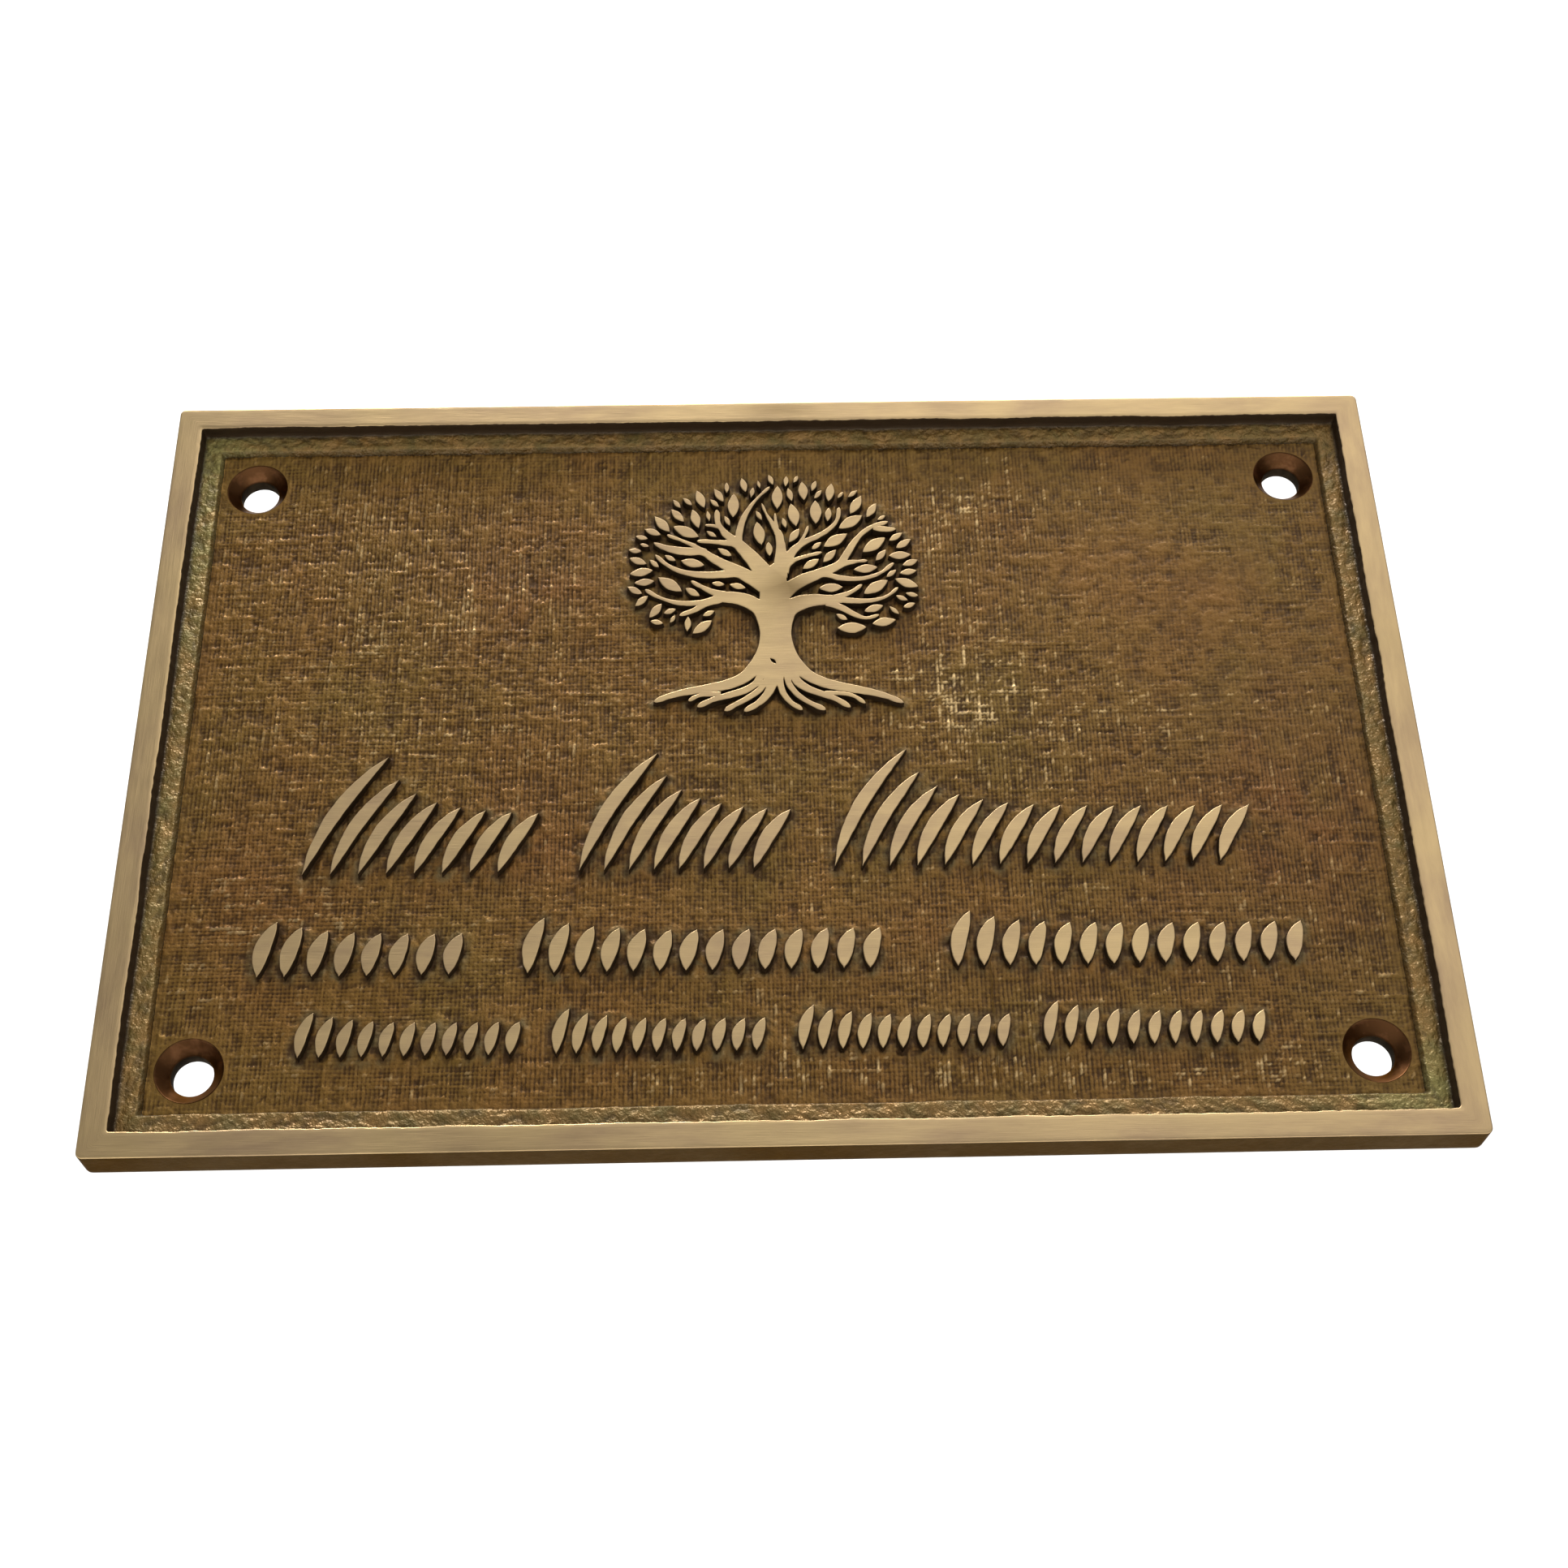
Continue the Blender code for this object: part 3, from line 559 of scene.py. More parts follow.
# Insets and depths of the profile's rows move by noise along and across it; the sides stay straight
def buildShell():
    rows = shellProfile()
    inset, depth, wearAndShade, finish, wave, rough = rows.T
    outer = np.maximum(shell["cornerRadius"] - inset, shell["leastRadius"])
    outer = np.maximum(outer, np.minimum(inset, shell["innerRadius"]))
    radius = np.where(inset > shell["innerFrom"], shell["innerRadius"], outer)
    ring = rectangleRings(plate["halfWidth"] - inset, plate["halfHeight"] - inset, radius)
    count = ring.shape[1]
    step = np.hypot(*(np.roll(ring[-1], -1, axis=0) - ring[-1]).T)
    along = np.concatenate(([0], np.cumsum(step)))
    across = np.concatenate(([0], np.cumsum(np.hypot(np.diff(inset), np.diff(depth)))))
    u = along[:-1] / along[-1]

    def ringNoise(steps, v, seed):
        return smoothNoise(u * steps, v[:, None], seed, steps)

    inward = -ring / np.maximum(np.abs(ring), 1e-9)
    nearX = plate["halfWidth"] - np.abs(ring[..., 0])
    nearZ = plate["halfHeight"] - np.abs(ring[..., 1])
    pushX = np.where(nearX <= nearZ + shell["cornerReach"], inward[..., 0], 0)
    pushZ = np.where(nearZ <= nearX + shell["cornerReach"], inward[..., 1], 0)
    (broad, fine), (broadCells, fineCells) = shell["waveSteps"], shell["waveCells"]
    waver = ringNoise(broad, inset * broadCells, 3) + 0.7 * ringNoise(fine, inset * fineCells, 4)
    waver = waver * wave[:, None] * shell["edgeWave"]
    (broad, fine), (broadSize, fineSize) = shell["gritSteps"], shell["gritSizes"]
    grit = ringNoise(broad, across / broadSize, 5) + ringNoise(fine, across / fineSize, 6)
    # Painted shade: the ledge is darker in the hollows of its grit, through the wear value
    hollow = rough[:, None] * shell["hollowDark"] * easeStep(0.0, 1.1, -grit)
    grit = grit * rough[:, None] * shell["ledgeRough"]
    points = np.empty((len(rows), count, 3))
    points[..., 0] = ring[..., 0] + pushX * waver
    points[..., 1] = plate["faceY"] + depth[:, None] - grit
    points[..., 2] = ring[..., 1] + pushZ * waver

    faces = gridFaces(len(rows), count, True)
    kinds = np.repeat(finish[1:].astype(int), count)
    grainU = np.stack((along[:-1], along[:-1], along[1:], along[1:]), axis=-1)
    grainU = np.tile(grainU, (len(rows) - 1, 1))
    grainV = np.stack((across[:-1], across[1:], across[1:], across[:-1]), axis=-1)
    grainV = np.repeat(grainV, count, axis=0)
    grain = np.stack((grainU, grainV), axis=-1)
    order = [np.flatnonzero(kinds == number) for number in (0, 1, 2)]
    values = {
        "wearAndShade": wearAndShade[:, None] * (1 - hollow),
        "stain": np.clip(softSpots(points[..., 0], points[..., 2], shell["stain"]), 0, 1),
        "green": np.clip(softSpots(points[..., 0], points[..., 2], shell["green"]), 0, 1),
    }
    sets = [(faces[chosen], number, True) for number, chosen in enumerate(order)]
    grain = np.concatenate([grain[chosen].reshape(-1, 2) for chosen in order])
    makePiece("border_and_ledge", points.reshape(-1, 3), sets, [brushed, ledge, side], values, grain)
    return points[-1]


backRing = buildShell()
print("border, ledge and sides made")


# Raised work, from the outlines of the frame's own relief

relief = {
    "step": 0.00016,
    "cornerTurn": math.radians(48),
    "arris": 0.00010,
    "flare": 0.00010,
    "clearShare": 0.6,  # of the circle that fits at a place, for the arris and the flare
    "wobble": 0.00003,
    "wobbleSizes": (0.0007, 0.0022),
    "rows": [(-1.0, -0.25, 0.0), (-0.75, 0.1, 0.0), (-0.4, 0.45, 0.0), (-0.15, 0.78, 0.05), (0.0, 0.9, 0.4),
             (0.22, 0.965, 0.85), (0.6, 0.993, 1.0), (1.0, 1.0, 1.0)],  # inset share, height share, worn
    "treeFoot": 0.0045,  # outlines whose middle is above this are the tree's
    "knotDepth": 0.0004,
    "knotFloor": 0.62,
    "knotWorn": 0.3,
    "knotReach": 0.0004,  # how close an outline's middle is to the knot's, to be the knot
    "dull": [(1.6, 22.8, 3.0, 1.7, 0.80), (0.3, 21.0, 3.5, 4.5, 0.20), (-3.0, 33.0, 6.0, 5.0, 0.12),
             (40.0, -14.0, 14.0, 4.0, 0.08), (-45.0, -30.0, 12.0, 5.0, 0.10)],
}


# Corner places and triangles of the frame's mesh, with corners that share a place made one
def frameMesh():
    mesh = frame["nodes"]["plaque_casting"].data
    places = np.empty(len(mesh.vertices) * 3)
    mesh.vertices.foreach_get("co", places)
    mesh.calc_loop_triangles()
    triangles = np.empty(len(mesh.loop_triangles) * 3, int)
    mesh.loop_triangles.foreach_get("vertices", triangles)
    rounded, same = np.unique(np.round(places.reshape(-1, 3), 6), axis=0, return_inverse=True)
    return rounded, same.ravel()[triangles].reshape(-1, 3)


# Closed outlines (x, z) round the triangles at one depth, the solid on their left as seen from the front
def outlinesAt(places, triangles, y):
    flat = triangles[(np.abs(places[triangles][..., 1] - y) < 0.00001).all(axis=1)]
    edges = np.concatenate((flat[:, (0, 1)], flat[:, (1, 2)], flat[:, (2, 0)]))
    size = len(places)
    codes = edges[:, 0] * size + edges[:, 1]
    edges = edges[~np.isin(codes, edges[:, 1] * size + edges[:, 0])]
    following = {}
    for first, second in edges.tolist():
        following.setdefault(first, []).append(second)
    loops = []
    while following:
        here = next(iter(following))
        loop = []
        while here in following:
            loop.append(here)
            ways = following[here]
            ahead = ways.pop()
            if not ways:
                del following[here]
            here = ahead
        loops.append(places[loop][:, (0, 2)])
    return loops


# A rounded outline through the given corners: cubic pieces whose slopes at a corner are the mean of its
# neighbours' directions, except at sharp corners, which stay sharp
def roundedOutline(corners):
    ahead = np.roll(corners, -1, axis=0) - corners
    length = np.hypot(ahead[:, 0], ahead[:, 1])
    ahead = ahead / length[:, None]
    behind = np.roll(ahead, 1, axis=0)
    turn = np.arccos(np.clip((ahead * behind).sum(axis=1), -1, 1))
    mean = ahead + behind
    mean = mean / np.maximum(np.hypot(mean[:, 0], mean[:, 1]), 1e-9)[:, None]
    sharp = (turn > relief["cornerTurn"])[:, None]
    leaving = np.where(sharp, ahead, mean) * length[:, None]
    arriving = np.roll(np.where(sharp, behind, mean), -1, axis=0) * length[:, None]
    counts = np.maximum(np.ceil(length / relief["step"]).astype(int), 1)
    owner = np.repeat(np.arange(len(corners)), counts)
    t = ((np.arange(len(owner)) - np.repeat(np.cumsum(counts) - counts, counts)) / counts[owner])[:, None]
    start, end = corners[owner], np.roll(corners, -1, axis=0)[owner]
    return (start * (2 * t**3 - 3 * t**2 + 1) + leaving[owner] * (t**3 - 2 * t**2 + t)
            + end * (3 * t**2 - 2 * t**3) + arriving[owner] * (t**3 - t**2))


# The left-hand normal at each point of an outline, plain, and lengthened at corners so that offset edges
# stay parallel
def outlineNormals(line):
    ahead = np.roll(line, -1, axis=0) - line
    ahead = ahead / np.maximum(np.hypot(ahead[:, 0], ahead[:, 1]), 1e-12)[:, None]
    left = np.stack((-ahead[:, 1], ahead[:, 0]), axis=1)
    mean = left + np.roll(left, 1, axis=0)
    size = np.maximum(np.hypot(mean[:, 0], mean[:, 1]), 1e-9)
    unit = mean / size[:, None]
    return unit, unit * np.minimum(2 / size, 2.0)[:, None]


# How big a circle fits inside the outline against each point: the least of d.d / 2 d.n over the other points
def clearRadius(line, unit):
    away = line[None] - line[:, None]
    facing = (away * unit[:, None]).sum(axis=-1)
    square = (away**2).sum(axis=-1)
    radius = np.where(facing > 1e-9, square / np.maximum(2 * facing, 1e-12), 1)
    return np.minimum(radius.min(axis=1), 1)


# Triangles that fill closed outlines, counter-clockwise from the front. A place inside an odd number of the
# outlines is filled, so holes stay open. The filling works in mm.
def fillLoops(lines):
    points = [Vector(point) for line in lines for point in (line * 1000).tolist()]
    faces = []
    begin = 0
    for line in lines:
        area = (line[:, 0] * np.roll(line[:, 1], -1) - line[:, 1] * np.roll(line[:, 0], -1)).sum()
        face = list(range(begin, begin + len(line)))
        faces.append(face if area > 0 else face[::-1])
        begin += len(line)
    flat, _, cells, _, _, inside = delaunay_2d_cdt(points, [], faces, 0, 1e-6)
    places = np.array([point[:] for point in flat]) / 1000
    cells = np.array([cell[:] for cell, owners in zip(cells, inside) if len(owners) % 2 == 1])
    a, b, c = places[cells[:, 0]], places[cells[:, 1]], places[cells[:, 2]]
    turn = (b[:, 0] - a[:, 0]) * (c[:, 1] - a[:, 1]) - (b[:, 1] - a[:, 1]) * (c[:, 0] - a[:, 0])
    cells[turn < 0] = cells[turn < 0][:, ::-1]
    return places, cells


# Each outline's wall is rings at the heights and insets of relief["rows"], under one flat cap for them all
def buildRelief(name, loops, knot):
    parts, wearAndShade, faces, fans, capLines = [], [], [], [], []
    offset = 0
    rise = plate["fieldY"] - plate["reliefY"]
    small, large = relief["wobbleSizes"]
    for loop in loops:
        line = roundedOutline(loop)
        unit, normal = outlineNormals(line)
        waver = smoothNoise(line[:, 0] / small, line[:, 1] / small, 11)
        waver = waver + smoothNoise(line[:, 0] / large, line[:, 1] / large, 12)
        inside = np.minimum(relief["arris"], relief["clearShare"] * clearRadius(line, unit))
        outside = np.minimum(relief["flare"], relief["clearShare"] * clearRadius(line, -unit))
        line = line + unit * (waver * relief["wobble"] * np.minimum(1, inside / relief["arris"]))[:, None]
        isKnot = knot is not None and np.hypot(*(loop.mean(axis=0) - knot)) < relief["knotReach"]
        rows = relief["rows"]
        if isKnot:
            floor = relief["knotFloor"]
            rows = [(share, floor + height * (1 - floor), value) for share, height, value in rows[1:]]
        rings = []
        for share, height, value in rows:
            reach = np.where(share < 0, outside, inside) * share
            ring = np.empty((len(line), 3))
            ring[:, (0, 2)] = line + normal * reach[:, None]
            ring[:, 1] = plate["fieldY"] - rise * height
            rings.append(ring)
            wearAndShade.append(np.full(len(line), value))
        first = offset + np.arange(len(line))
        faces.append(gridFaces(len(rows), len(line), True)[:, (0, 3, 2, 1)] + offset)
        parts.append(np.concatenate(rings))
        offset += len(rows) * len(line)
        capLines.append(rings[-1][:, (0, 2)])
        if isKnot:  # its floor is a fan round its middle
            parts.append(rings[0].mean(axis=0)[None])
            wearAndShade.append(np.array([relief["knotWorn"]]))
            fans.append(np.stack((first, np.roll(first, -1), np.full(len(line), offset)), axis=1))
            offset += 1
    top, cap = fillLoops(capLines)
    capPoints = np.stack((top[:, 0], np.full(len(top), plate["reliefY"]), top[:, 1]), axis=1)
    points = np.concatenate(parts + [capPoints])
    sets = [(np.concatenate(faces), 0, True), (cap + offset, 0, False)] + [(fan, 0, True) for fan in fans]
    values = {
        "wearAndShade": np.concatenate(wearAndShade + [np.ones(len(top))]),
        "stain": np.clip(softSpots(points[:, 0], points[:, 2], relief["dull"]), 0, 1),
    }
    makePiece(name, points, sets, [brushed], values)
    return capLines


framePlaces, frameTriangles = frameMesh()
topLoops = outlinesAt(framePlaces, frameTriangles, plate["reliefY"])
floorLoops = outlinesAt(framePlaces, frameTriangles, plate["reliefY"] + relief["knotDepth"])
knotPlace = floorLoops[0].mean(axis=0) if floorLoops else None
treeLoops = [loop for loop in topLoops if loop[:, 1].mean() > relief["treeFoot"]]
rowLoops = [loop for loop in topLoops if loop[:, 1].mean() <= relief["treeFoot"]]
treeLines = buildRelief("tree_of_life", treeLoops, knotPlace)
rowLines = buildRelief("stroke_rows", rowLoops, None)
print("raised work made:", len(treeLoops), "tree outlines,", len(rowLoops), "strokes, knot at", knotPlace)


# Woven field

# Runs are how far along a thread its thickness changes, long and short; sizes are those of noise cells
weave = {
    "pitch": 0.00049,
    "overlap": 0.00008,  # of the field past the foot of the ledge's wall
    "low": -0.00015,
    "high": 0.00009,
    "shadeSpan": 0.00032,  # from a hollow's height to a full thread's
    "threadWander": 0.00009,
    "wanderRuns": (0.009, 0.0011),
    "warpSpread": 0.50,
    "warpRuns": (0.006, 0.0016),
    "weftSpread": 0.40,
    "weftRuns": (0.008, 0.0018),
    "slubRun": 0.0036,
    "ribSizes": (0.016, 0.012),
    "lumps": 0.00010,
    "lumpSizes": (0.0013, 0.0007),
    "grit": 0.00006,
    "flow": 0.00008,
    "flowSize": 0.012,
    "plainWear": 0.38,
    "patchSize": 0.0035,
    "fineSizes": (0.0007, 0.0010),
    # Painted shade and patina: how much darker the field is at the foot of the raised work
    "footShadeAndPatina": 0.4,
    "redSize": 0.004,
    "seed": 21,
    "weftZones": [(-52.0, -22.0, 24.0, 22.0, 0.8), (-50.0, 12.0, 20.0, 9.0, 0.4),
                  (20.0, 8.0, 12.0, 5.0, 0.3)],
    "smooth": [(49.0, 26.0, 22.0, 16.0, 0.75), (20.0, 41.5, 60.0, 4.0, 0.55), (60.0, 5.0, 14.0, 14.0, 0.35),
               (-20.0, 30.0, 6.0, 10.0, 0.3)],
    "smoothSize": 0.006,
    # Places with more flecks of bright metal: painted glints
    "bright": [(22.0, 8.5, 8.0, 8.0, 0.9), (26.0, 36.0, 12.0, 6.0, 0.6), (-46.0, 19.0, 16.0, 12.0, 0.3),
               (40.0, 4.0, 16.0, 5.0, 0.6), (-30.0, 4.0, 20.0, 5.0, 0.35), (10.0, -41.0, 50.0, 3.0, 0.4),
               (57.0, -41.5, 14.0, 3.0, 0.35), (-60.0, -22.0, 12.0, 6.0, 0.4)],
    "reddish": [(-59.0, -17.0, 14.0, 10.0, 0.45), (-26.0, -12.0, 14.0, 8.0, 0.4),
                (-30.0, 24.0, 14.0, 12.0, 0.45), (60.0, -8.0, 12.0, 22.0, 0.6),
                (15.0, 22.0, 8.0, 10.0, 0.25), (8.0, -26.0, 26.0, 4.0, 0.35)],
    "pieces": 3,
}


# Distance to the nearest marked point of the grid, in grid steps, up to the number of passes
def gridDistance(marked, passes):
    rows, columns = marked.shape
    far = np.where(marked, 0.0, float(passes))
    for _ in range(passes):
        padded = np.pad(far, 1, constant_values=passes)
        nearest = far
        for down, over in ((0, 1), (1, 0), (1, 2), (2, 1), (0, 0), (0, 2), (2, 0), (2, 2)):
            step = 1 if 1 in (down, over) else 1.4142
            nearest = np.minimum(nearest, padded[down:down + rows, over:over + columns] + step)
        far = nearest
    return far


# The field's points with those inside a hole's rim moved out to it, and which those were
def openHoles(x, z):
    inHole = np.zeros(x.shape, bool)
    edge = holes["rim"] + holes["rimGap"]
    for centreX, centreZ in holePlaces:
        dx, dz = x - centreX, z - centreZ
        reach = np.hypot(dx, dz)
        inHole |= reach < edge
        scale = np.where(reach < edge, edge / np.maximum(reach, 1e-6), 1)
        x = centreX + dx * scale
        z = centreZ + dz * scale
    return x, z, inHole


# Height of the weave: a thread's own thickness where it crosses on top, a share of it between crossings, and
# none in the gaps. Each thread's thickness changes along it, and it wanders a little from its line. Ribs are
# how much the warp stands over the weft. Lumps, grit and a slow flow of the metal are added.
def buildField():
    halfWidth = plate["halfWidth"] - plate["fieldInset"] + weave["overlap"]
    halfHeight = plate["halfHeight"] - plate["fieldInset"] + weave["overlap"]
    columns = 2 * round(halfWidth / (weave["pitch"] / 2)) + 1
    rows = 2 * round(halfHeight / (weave["pitch"] / 2)) + 1
    x, z = np.meshgrid(np.linspace(-halfWidth, halfWidth, columns),
                       np.linspace(-halfHeight, halfHeight, rows))
    i, j = np.meshgrid(np.arange(columns), np.arange(rows))

    def noise(u, v, number):
        return smoothNoise(u, v, weave["seed"] + number)

    long, short = weave["warpRuns"]
    warp = 1 + weave["warpSpread"] * (noise(z / long, i // 2, 0) + 0.6 * noise(z / short, i // 2, 1))
    long, short = weave["weftRuns"]
    weft = 1 + weave["weftSpread"] * (noise(x / long, j // 2, 2) + 0.8 * noise(x / short, j // 2, 3))
    run = noise(x / weave["slubRun"], j // 2, 4)
    slub = easeStep(0.6, 0.95, run) - 0.6 * easeStep(0.6, 0.9, -run)
    wide, high = weave["ribSizes"]
    ribs = 0.75 + 0.4 * noise(x / wide, z / high, 14) - softSpots(x, z, weave["weftZones"])
    ribs = np.clip(ribs, 0, 1)
    warpTop = (i // 2 + j // 2) % 2 == 0
    onWarp, onWeft = i % 2 == 0, j % 2 == 0
    between = np.where(onWarp, (0.45 + 0.40 * ribs) * warp, 0.0)
    between = np.where(onWeft, (0.60 - 0.50 * ribs) * weft, between)
    share = np.where(onWarp & onWeft, np.where(warpTop, warp, weft), between)
    share = np.clip(share + 0.5 * slub * onWeft, -0.3, 2.2)

    # How near the raised work and the field's edge are, and where the weave is cast smooth
    cell = x[0, 1] - x[0, 0]
    marked = np.zeros(x.shape, bool)
    outline = np.concatenate(treeLines + rowLines)
    marked[np.round((outline[:, 1] + halfHeight) / cell).astype(int).clip(0, rows - 1),
           np.round((outline[:, 0] + halfWidth) / cell).astype(int).clip(0, columns - 1)] = True
    distance = gridDistance(marked, 10) * cell
    near = 1 - easeStep(0.0002, 0.0016, distance)
    # The field at the foot of the raised work is darkened by painted shade and patina
    foot = 1 - easeStep(0.0001, 0.0008, distance)
    edge = np.minimum(halfWidth - np.abs(x), halfHeight - np.abs(z))
    smooth = np.clip(softSpots(x, z, weave["smooth"]), 0, 0.85)
    smooth = smooth * (0.75 + 0.35 * noise(x / weave["smoothSize"], z / weave["smoothSize"], 5))
    strength = (1 - smooth.clip(0, 0.9)) * (1 - 0.75 * near) * (0.45 + 0.55 * easeStep(0.0003, 0.0020, edge))
    large, small = weave["lumpSizes"]
    lumps = noise(x / large, z / large, 6) + 0.7 * noise(x / small, z / small, 7)
    grit = noise(i * 0.83, j * 0.77, 8)
    height = weave["low"] + (weave["high"] - weave["low"]) * share
    height = height * strength + lumps * weave["lumps"] * (0.5 + 0.6 * near)
    height = height + grit * weave["grit"] * (1 - 0.5 * smooth)
    flow = weave["flow"] * noise(x / weave["flowSize"], z / weave["flowSize"], 9)

    # Wear and painted glints: bright metal where the threads stand proud, and more of it in the bright places
    # as painted glints
    bright = weave["plainWear"] + softSpots(x, z, weave["bright"])
    patch = 0.5 + 0.5 * noise(x / weave["patchSize"], z / weave["patchSize"], 10)
    wide, high = weave["fineSizes"]
    fine = noise(x / wide, z / high, 15)
    thread = np.maximum(np.where(onWarp, warp - 0.15 * ~onWeft - 0.4 * (1 - ribs), 0),
                        np.where(onWeft, weft + 0.35 * slub - 0.15 * ~onWarp - 0.4 * ribs, 0))
    proud = (thread - 0.6) * strength + 0.5 * grit + 0.45 * fine + 0.3 * patch + 0.6 * bright
    wearAndGlints = easeStep(1.15, 1.85, proud) * (0.35 + 0.65 * bright.clip(0, 1)) * (1 - 0.4 * near)
    for centreX, centreZ in holePlaces:
        reach = np.hypot(x - centreX, z - centreZ)
        calm = easeStep(holes["rim"], holes["rim"] + holes["calmWidth"], reach)
        height = height * calm
        wearAndGlints = wearAndGlints * calm

    wander = weave["threadWander"] * easeStep(0.0001, 0.0015, edge)
    long, short = weave["wanderRuns"]
    shiftX = wander * (noise(z / long, i / 9, 11) + 0.7 * noise(z / short, i / 2, 16))
    shiftZ = wander * (noise(x / long, j / 9, 12) + 0.7 * noise(x / short, j / 2, 17))
    x, z, inHole = openHoles(x + shiftX, z + shiftZ)
    points = np.stack((x, plate["fieldY"] - height - flow, z), axis=-1)
    reddish = 0.8 + 0.5 * noise(x / weave["redSize"], z / weave["redSize"], 13)
    values = {
        # The height value also carries the painted shade and patina at the foot of the raised work
        "height": 0.5 + height / weave["shadeSpan"] - weave["footShadeAndPatina"] * foot,
        "near": near,
        "wearAndGlints": wearAndGlints,
        "reddish": np.clip(softSpots(x, z, weave["reddish"]) * reddish, 0, 1),
    }
    splits = np.linspace(0, columns - 1, weave["pieces"] + 1).round().astype(int)
    for number, (begin, end) in enumerate(zip(splits, splits[1:])):
        part = points[:, begin:end + 1]
        faces = gridFaces(rows, part.shape[1])[:, (0, 3, 2, 1)]
        hidden = inHole[:, begin:end + 1].ravel()[faces].all(axis=1)
        makePiece(f"woven_field_{number + 1}", part.reshape(-1, 3), [(faces[~hidden], 0, True)], [woven],
                  {key: value[:, begin:end + 1] for key, value in values.items()})
    print("woven field made:", rows, "by", columns)


buildField()


# Hole linings and back

# A lining is its profile turned about the hole's line, from the field's rim to the back.
# Each row of the profile is radius, y and a value that darkens the countersink where it is low: at the rim,
# and as painted shadow at the bore's edge.
def buildHoles():
    slope = math.tan(holes["angle"] / 2)
    field = plate["fieldY"]
    rim, inner = holes["rim"], holes["bore"]
    depth = (rim - inner) / slope
    profile = [
        (rim + 0.00025, field + 0.00018, 0.5),
        (rim + 0.00005, field - 0.00001, 0.5),
        (rim - 0.00003, field + 0.00003, 0.7),
    ]
    profile += [(rim - t * (rim - inner), field + t * depth, 1.0) for t in (0.1, 0.3, 0.5, 0.7, 0.9)]
    profile += [
        (inner + 0.00003, field + depth - 0.00002, 0.6),
        (inner, field + depth + 0.00006, 0.4),
    ]
    boreRow = len(profile) - 1
    profile += [
        (inner, field + depth + 0.0008, 0.0),
        (inner, -holes["backEdge"], 0.0),
        (inner + holes["backEdge"], 0.0, 0.0),
    ]
    radius, y, wearAndShade = np.array(profile).T
    angle = np.linspace(0, 2 * math.pi, holes["columns"], endpoint=False)
    points, coneFaces, boreFaces = [], [], []
    for number, (centreX, centreZ) in enumerate(holePlaces):
        ring = np.stack((centreX + radius[:, None] * np.cos(angle), np.repeat(y[:, None], len(angle), axis=1),
                         centreZ + radius[:, None] * np.sin(angle)), axis=-1)
        points.append(ring.reshape(-1, 3))
        faces = gridFaces(len(radius), len(angle), True)[:, (0, 3, 2, 1)] + number * ring[..., 0].size
        coneFaces.append(faces[:boreRow * len(angle)])
        boreFaces.append(faces[boreRow * len(angle):])
    sets = [(np.concatenate(coneFaces), 0, True), (np.concatenate(boreFaces), 1, True)]
    values = {"wearAndShade": np.tile(np.repeat(wearAndShade, len(angle)), len(holePlaces))}
    makePiece("countersinks", np.concatenate(points), sets, [sink, bore], values)


def buildBack():
    angle = np.linspace(0, 2 * math.pi, holes["columns"], endpoint=False)
    circle = np.stack((np.cos(angle), np.sin(angle)), axis=1) * (holes["bore"] + holes["backEdge"])
    lines = [backRing[:, (0, 2)]] + [circle + place for place in holePlaces]
    flat, cells = fillLoops(lines)
    points = np.stack((flat[:, 0], np.zeros(len(flat)), flat[:, 1]), axis=1)
    makePiece("back_face", points, [(cells[:, ::-1], 0, False)], [back], {"wearAndShade": np.ones(len(points))})


buildHoles()
buildBack()
print("holes and back made")


# Stage, light and camera

stage = {
    "floorZ": -0.5,
    "frontY": -1.6,
    "wallY": 0.75,
    "wallTop": 2.4,
    "halfWidth": 6,
    "bend": 0.35,
    "pale": (0.86, 0.86, 0.85, 1),
    "rough": 0.9,
    "worldLight": 0.36,
}
lights = {
    "soft_front": {"place": (0.40, -0.80, 0.60), "target": (0, 0, 0), "size": 1.1, "power": 3.1},
    "key": {"place": (-0.14, -0.15, 0.80), "target": (0, 0, 0), "size": 0.16, "power": 2.7},
    "wall_wash": {"place": (0.0, 0.1, 1.9), "target": (0.0, 0.75, 0.5), "size": 1.6, "power": 60.0},
}
view = {
    "lens": 51.08,
    "sensor": 36,
    "nearest": 0.01,
    "place": (-0.003445, -0.232778, -0.134494),
    "axes": ((0.99976, 0.01542, -0.0153), (-0.00572, -0.49268, -0.87019), (-0.02096, 0.87007, -0.49248)),
}


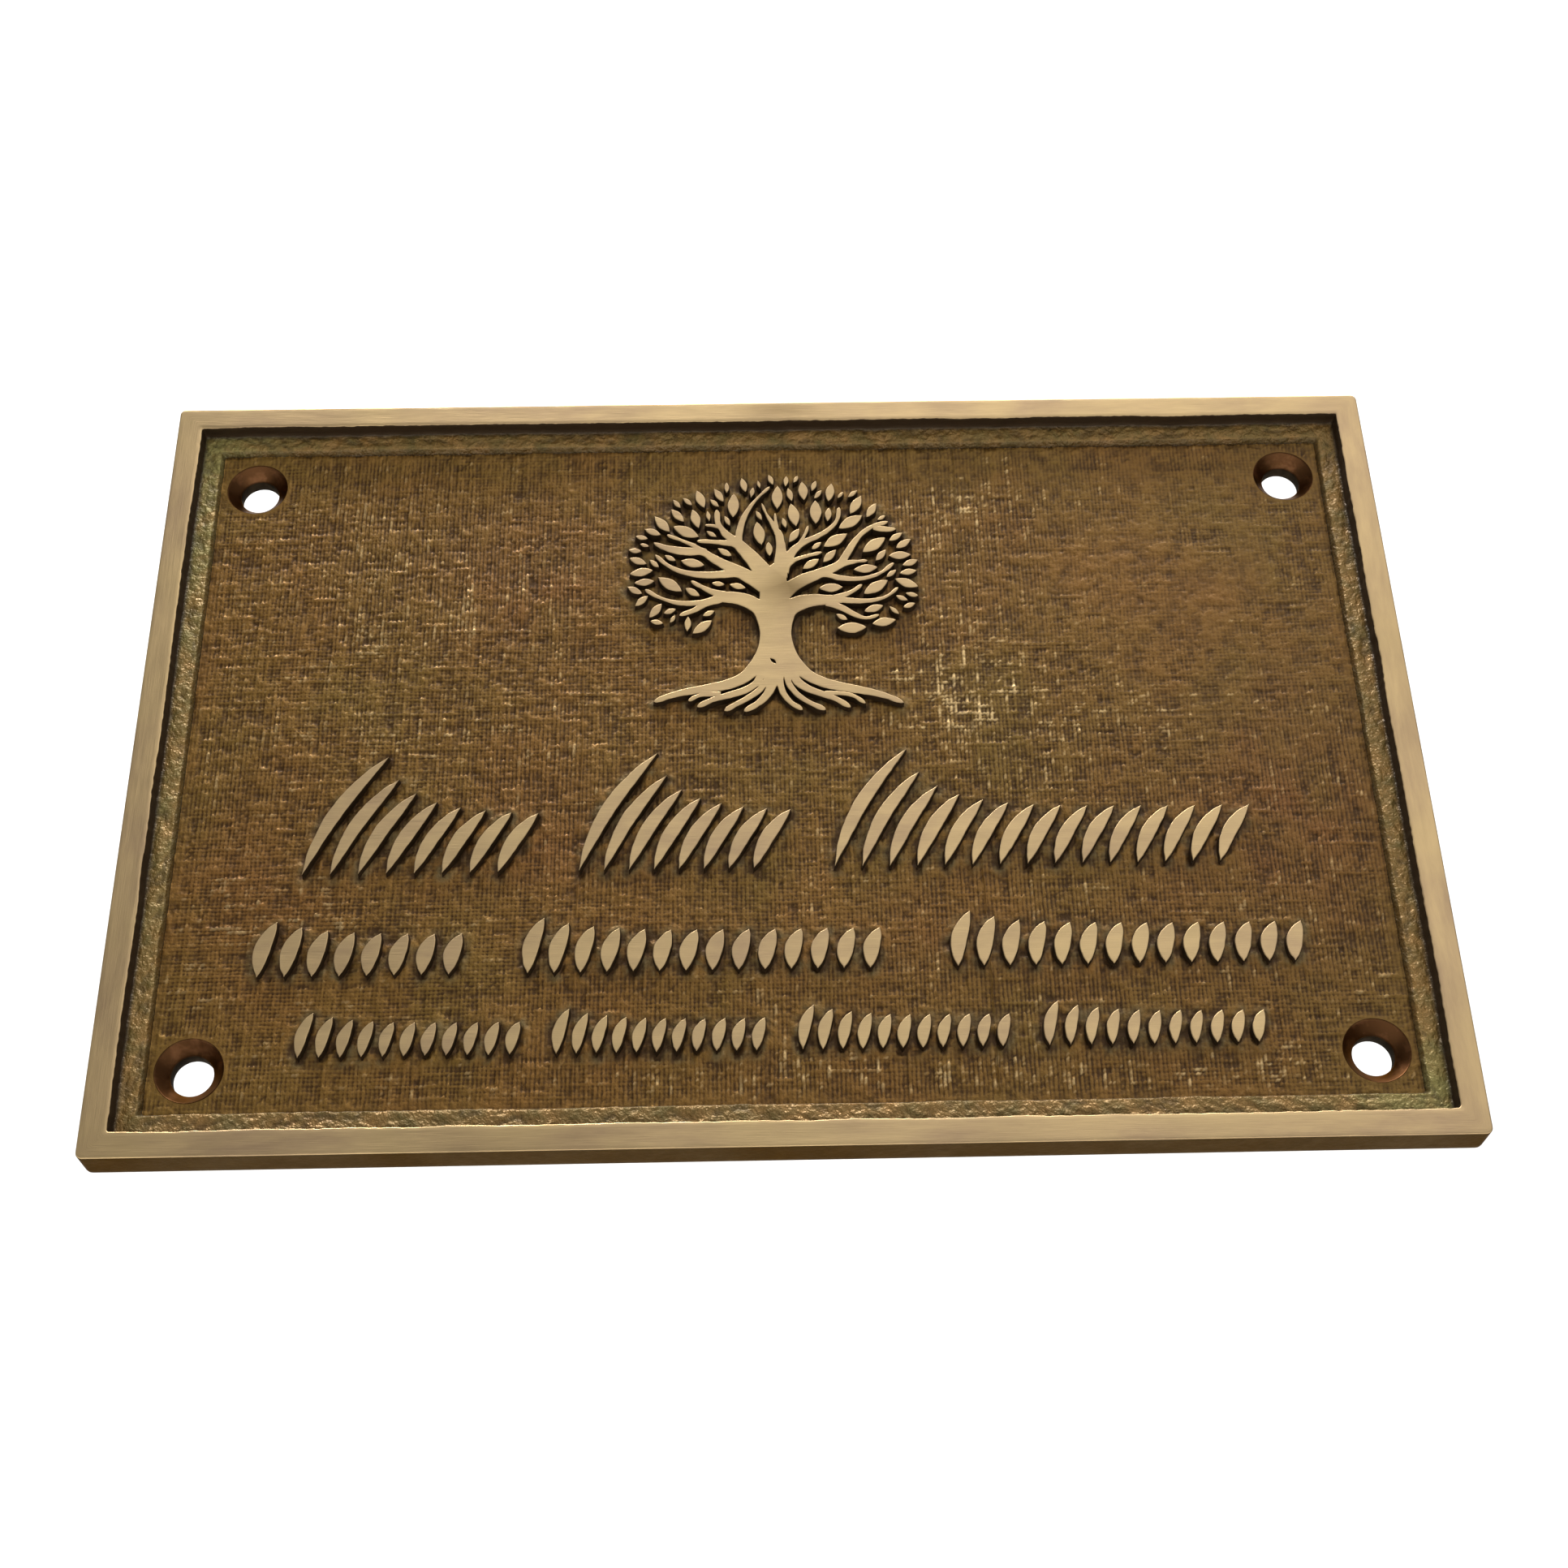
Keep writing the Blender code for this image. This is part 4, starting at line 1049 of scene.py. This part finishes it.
# A pale floor that turns up into a wall in one sweep
def buildStage():
    floor, wall, bend = stage["floorZ"], stage["wallY"], stage["bend"]
    line = [(stage["frontY"], floor), (wall - bend, floor)]
    line += [(wall - bend + bend * math.sin(a), floor + bend - bend * math.cos(a))
             for a in np.radians(np.arange(10, 90, 10))]
    line += [(wall, floor + bend), (wall, stage["wallTop"])]
    y, z = np.array(line).T
    ends = (-stage["halfWidth"], stage["halfWidth"])
    points = np.stack([np.stack((np.full(len(y), x), y, z), axis=1) for x in ends], axis=1)
    mesh = bpy.data.meshes.new("pale_sweep")
    mesh.from_pydata(points.reshape(-1, 3).tolist(), [], gridFaces(len(y), 2)[:, (0, 3, 2, 1)].tolist())
    mesh.polygons.foreach_set("use_smooth", np.ones(len(mesh.polygons), bool))
    material = bpy.data.materials.new("pale_paint")
    material.use_nodes = True
    shader = material.node_tree.nodes["Principled BSDF"]
    shader.inputs["Base Color"].default_value = stage["pale"]
    shader.inputs["Roughness"].default_value = stage["rough"]
    mesh.materials.append(material)
    sweep = bpy.data.objects.new("pale_sweep", mesh)
    bpy.context.scene.collection.objects.link(sweep)


def addLight(name, place, target, size, power):
    data = bpy.data.lights.new(name, "AREA")
    data.shape = "SQUARE"
    data.size = size
    data.energy = power
    light = bpy.data.objects.new(name, data)
    bpy.context.scene.collection.objects.link(light)
    light.location = place
    light.rotation_euler = (Vector(target) - Vector(place)).to_track_quat("-Z", "Y").to_euler()


buildStage()
for lightName, settings in lights.items():
    addLight(lightName, **settings)
bpy.context.scene.view_settings.view_transform = "Standard"
world = bpy.context.scene.world or bpy.data.worlds.new("studio")
bpy.context.scene.world = world
world.use_nodes = True
ground = world.node_tree.nodes.get("Background") or world.node_tree.nodes.new("ShaderNodeBackground")
ground.inputs["Color"].default_value = (1, 1, 1, 1)
ground.inputs["Strength"].default_value = stage["worldLight"]

camera = bpy.data.objects.new("camera", bpy.data.cameras.new("camera"))
bpy.context.scene.collection.objects.link(camera)
camera.data.lens = view["lens"]
camera.data.sensor_width = view["sensor"]
camera.data.clip_start = view["nearest"]
camera.matrix_world = Matrix.Translation(view["place"]) @ Matrix(view["axes"]).to_4x4()
bpy.context.scene.camera = camera

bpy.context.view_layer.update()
dressed = [piece.data.polygons for piece in bpy.data.objects if "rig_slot" in piece]
print("triangles", sum(len(face.vertices) - 2 for faces in dressed for face in faces))
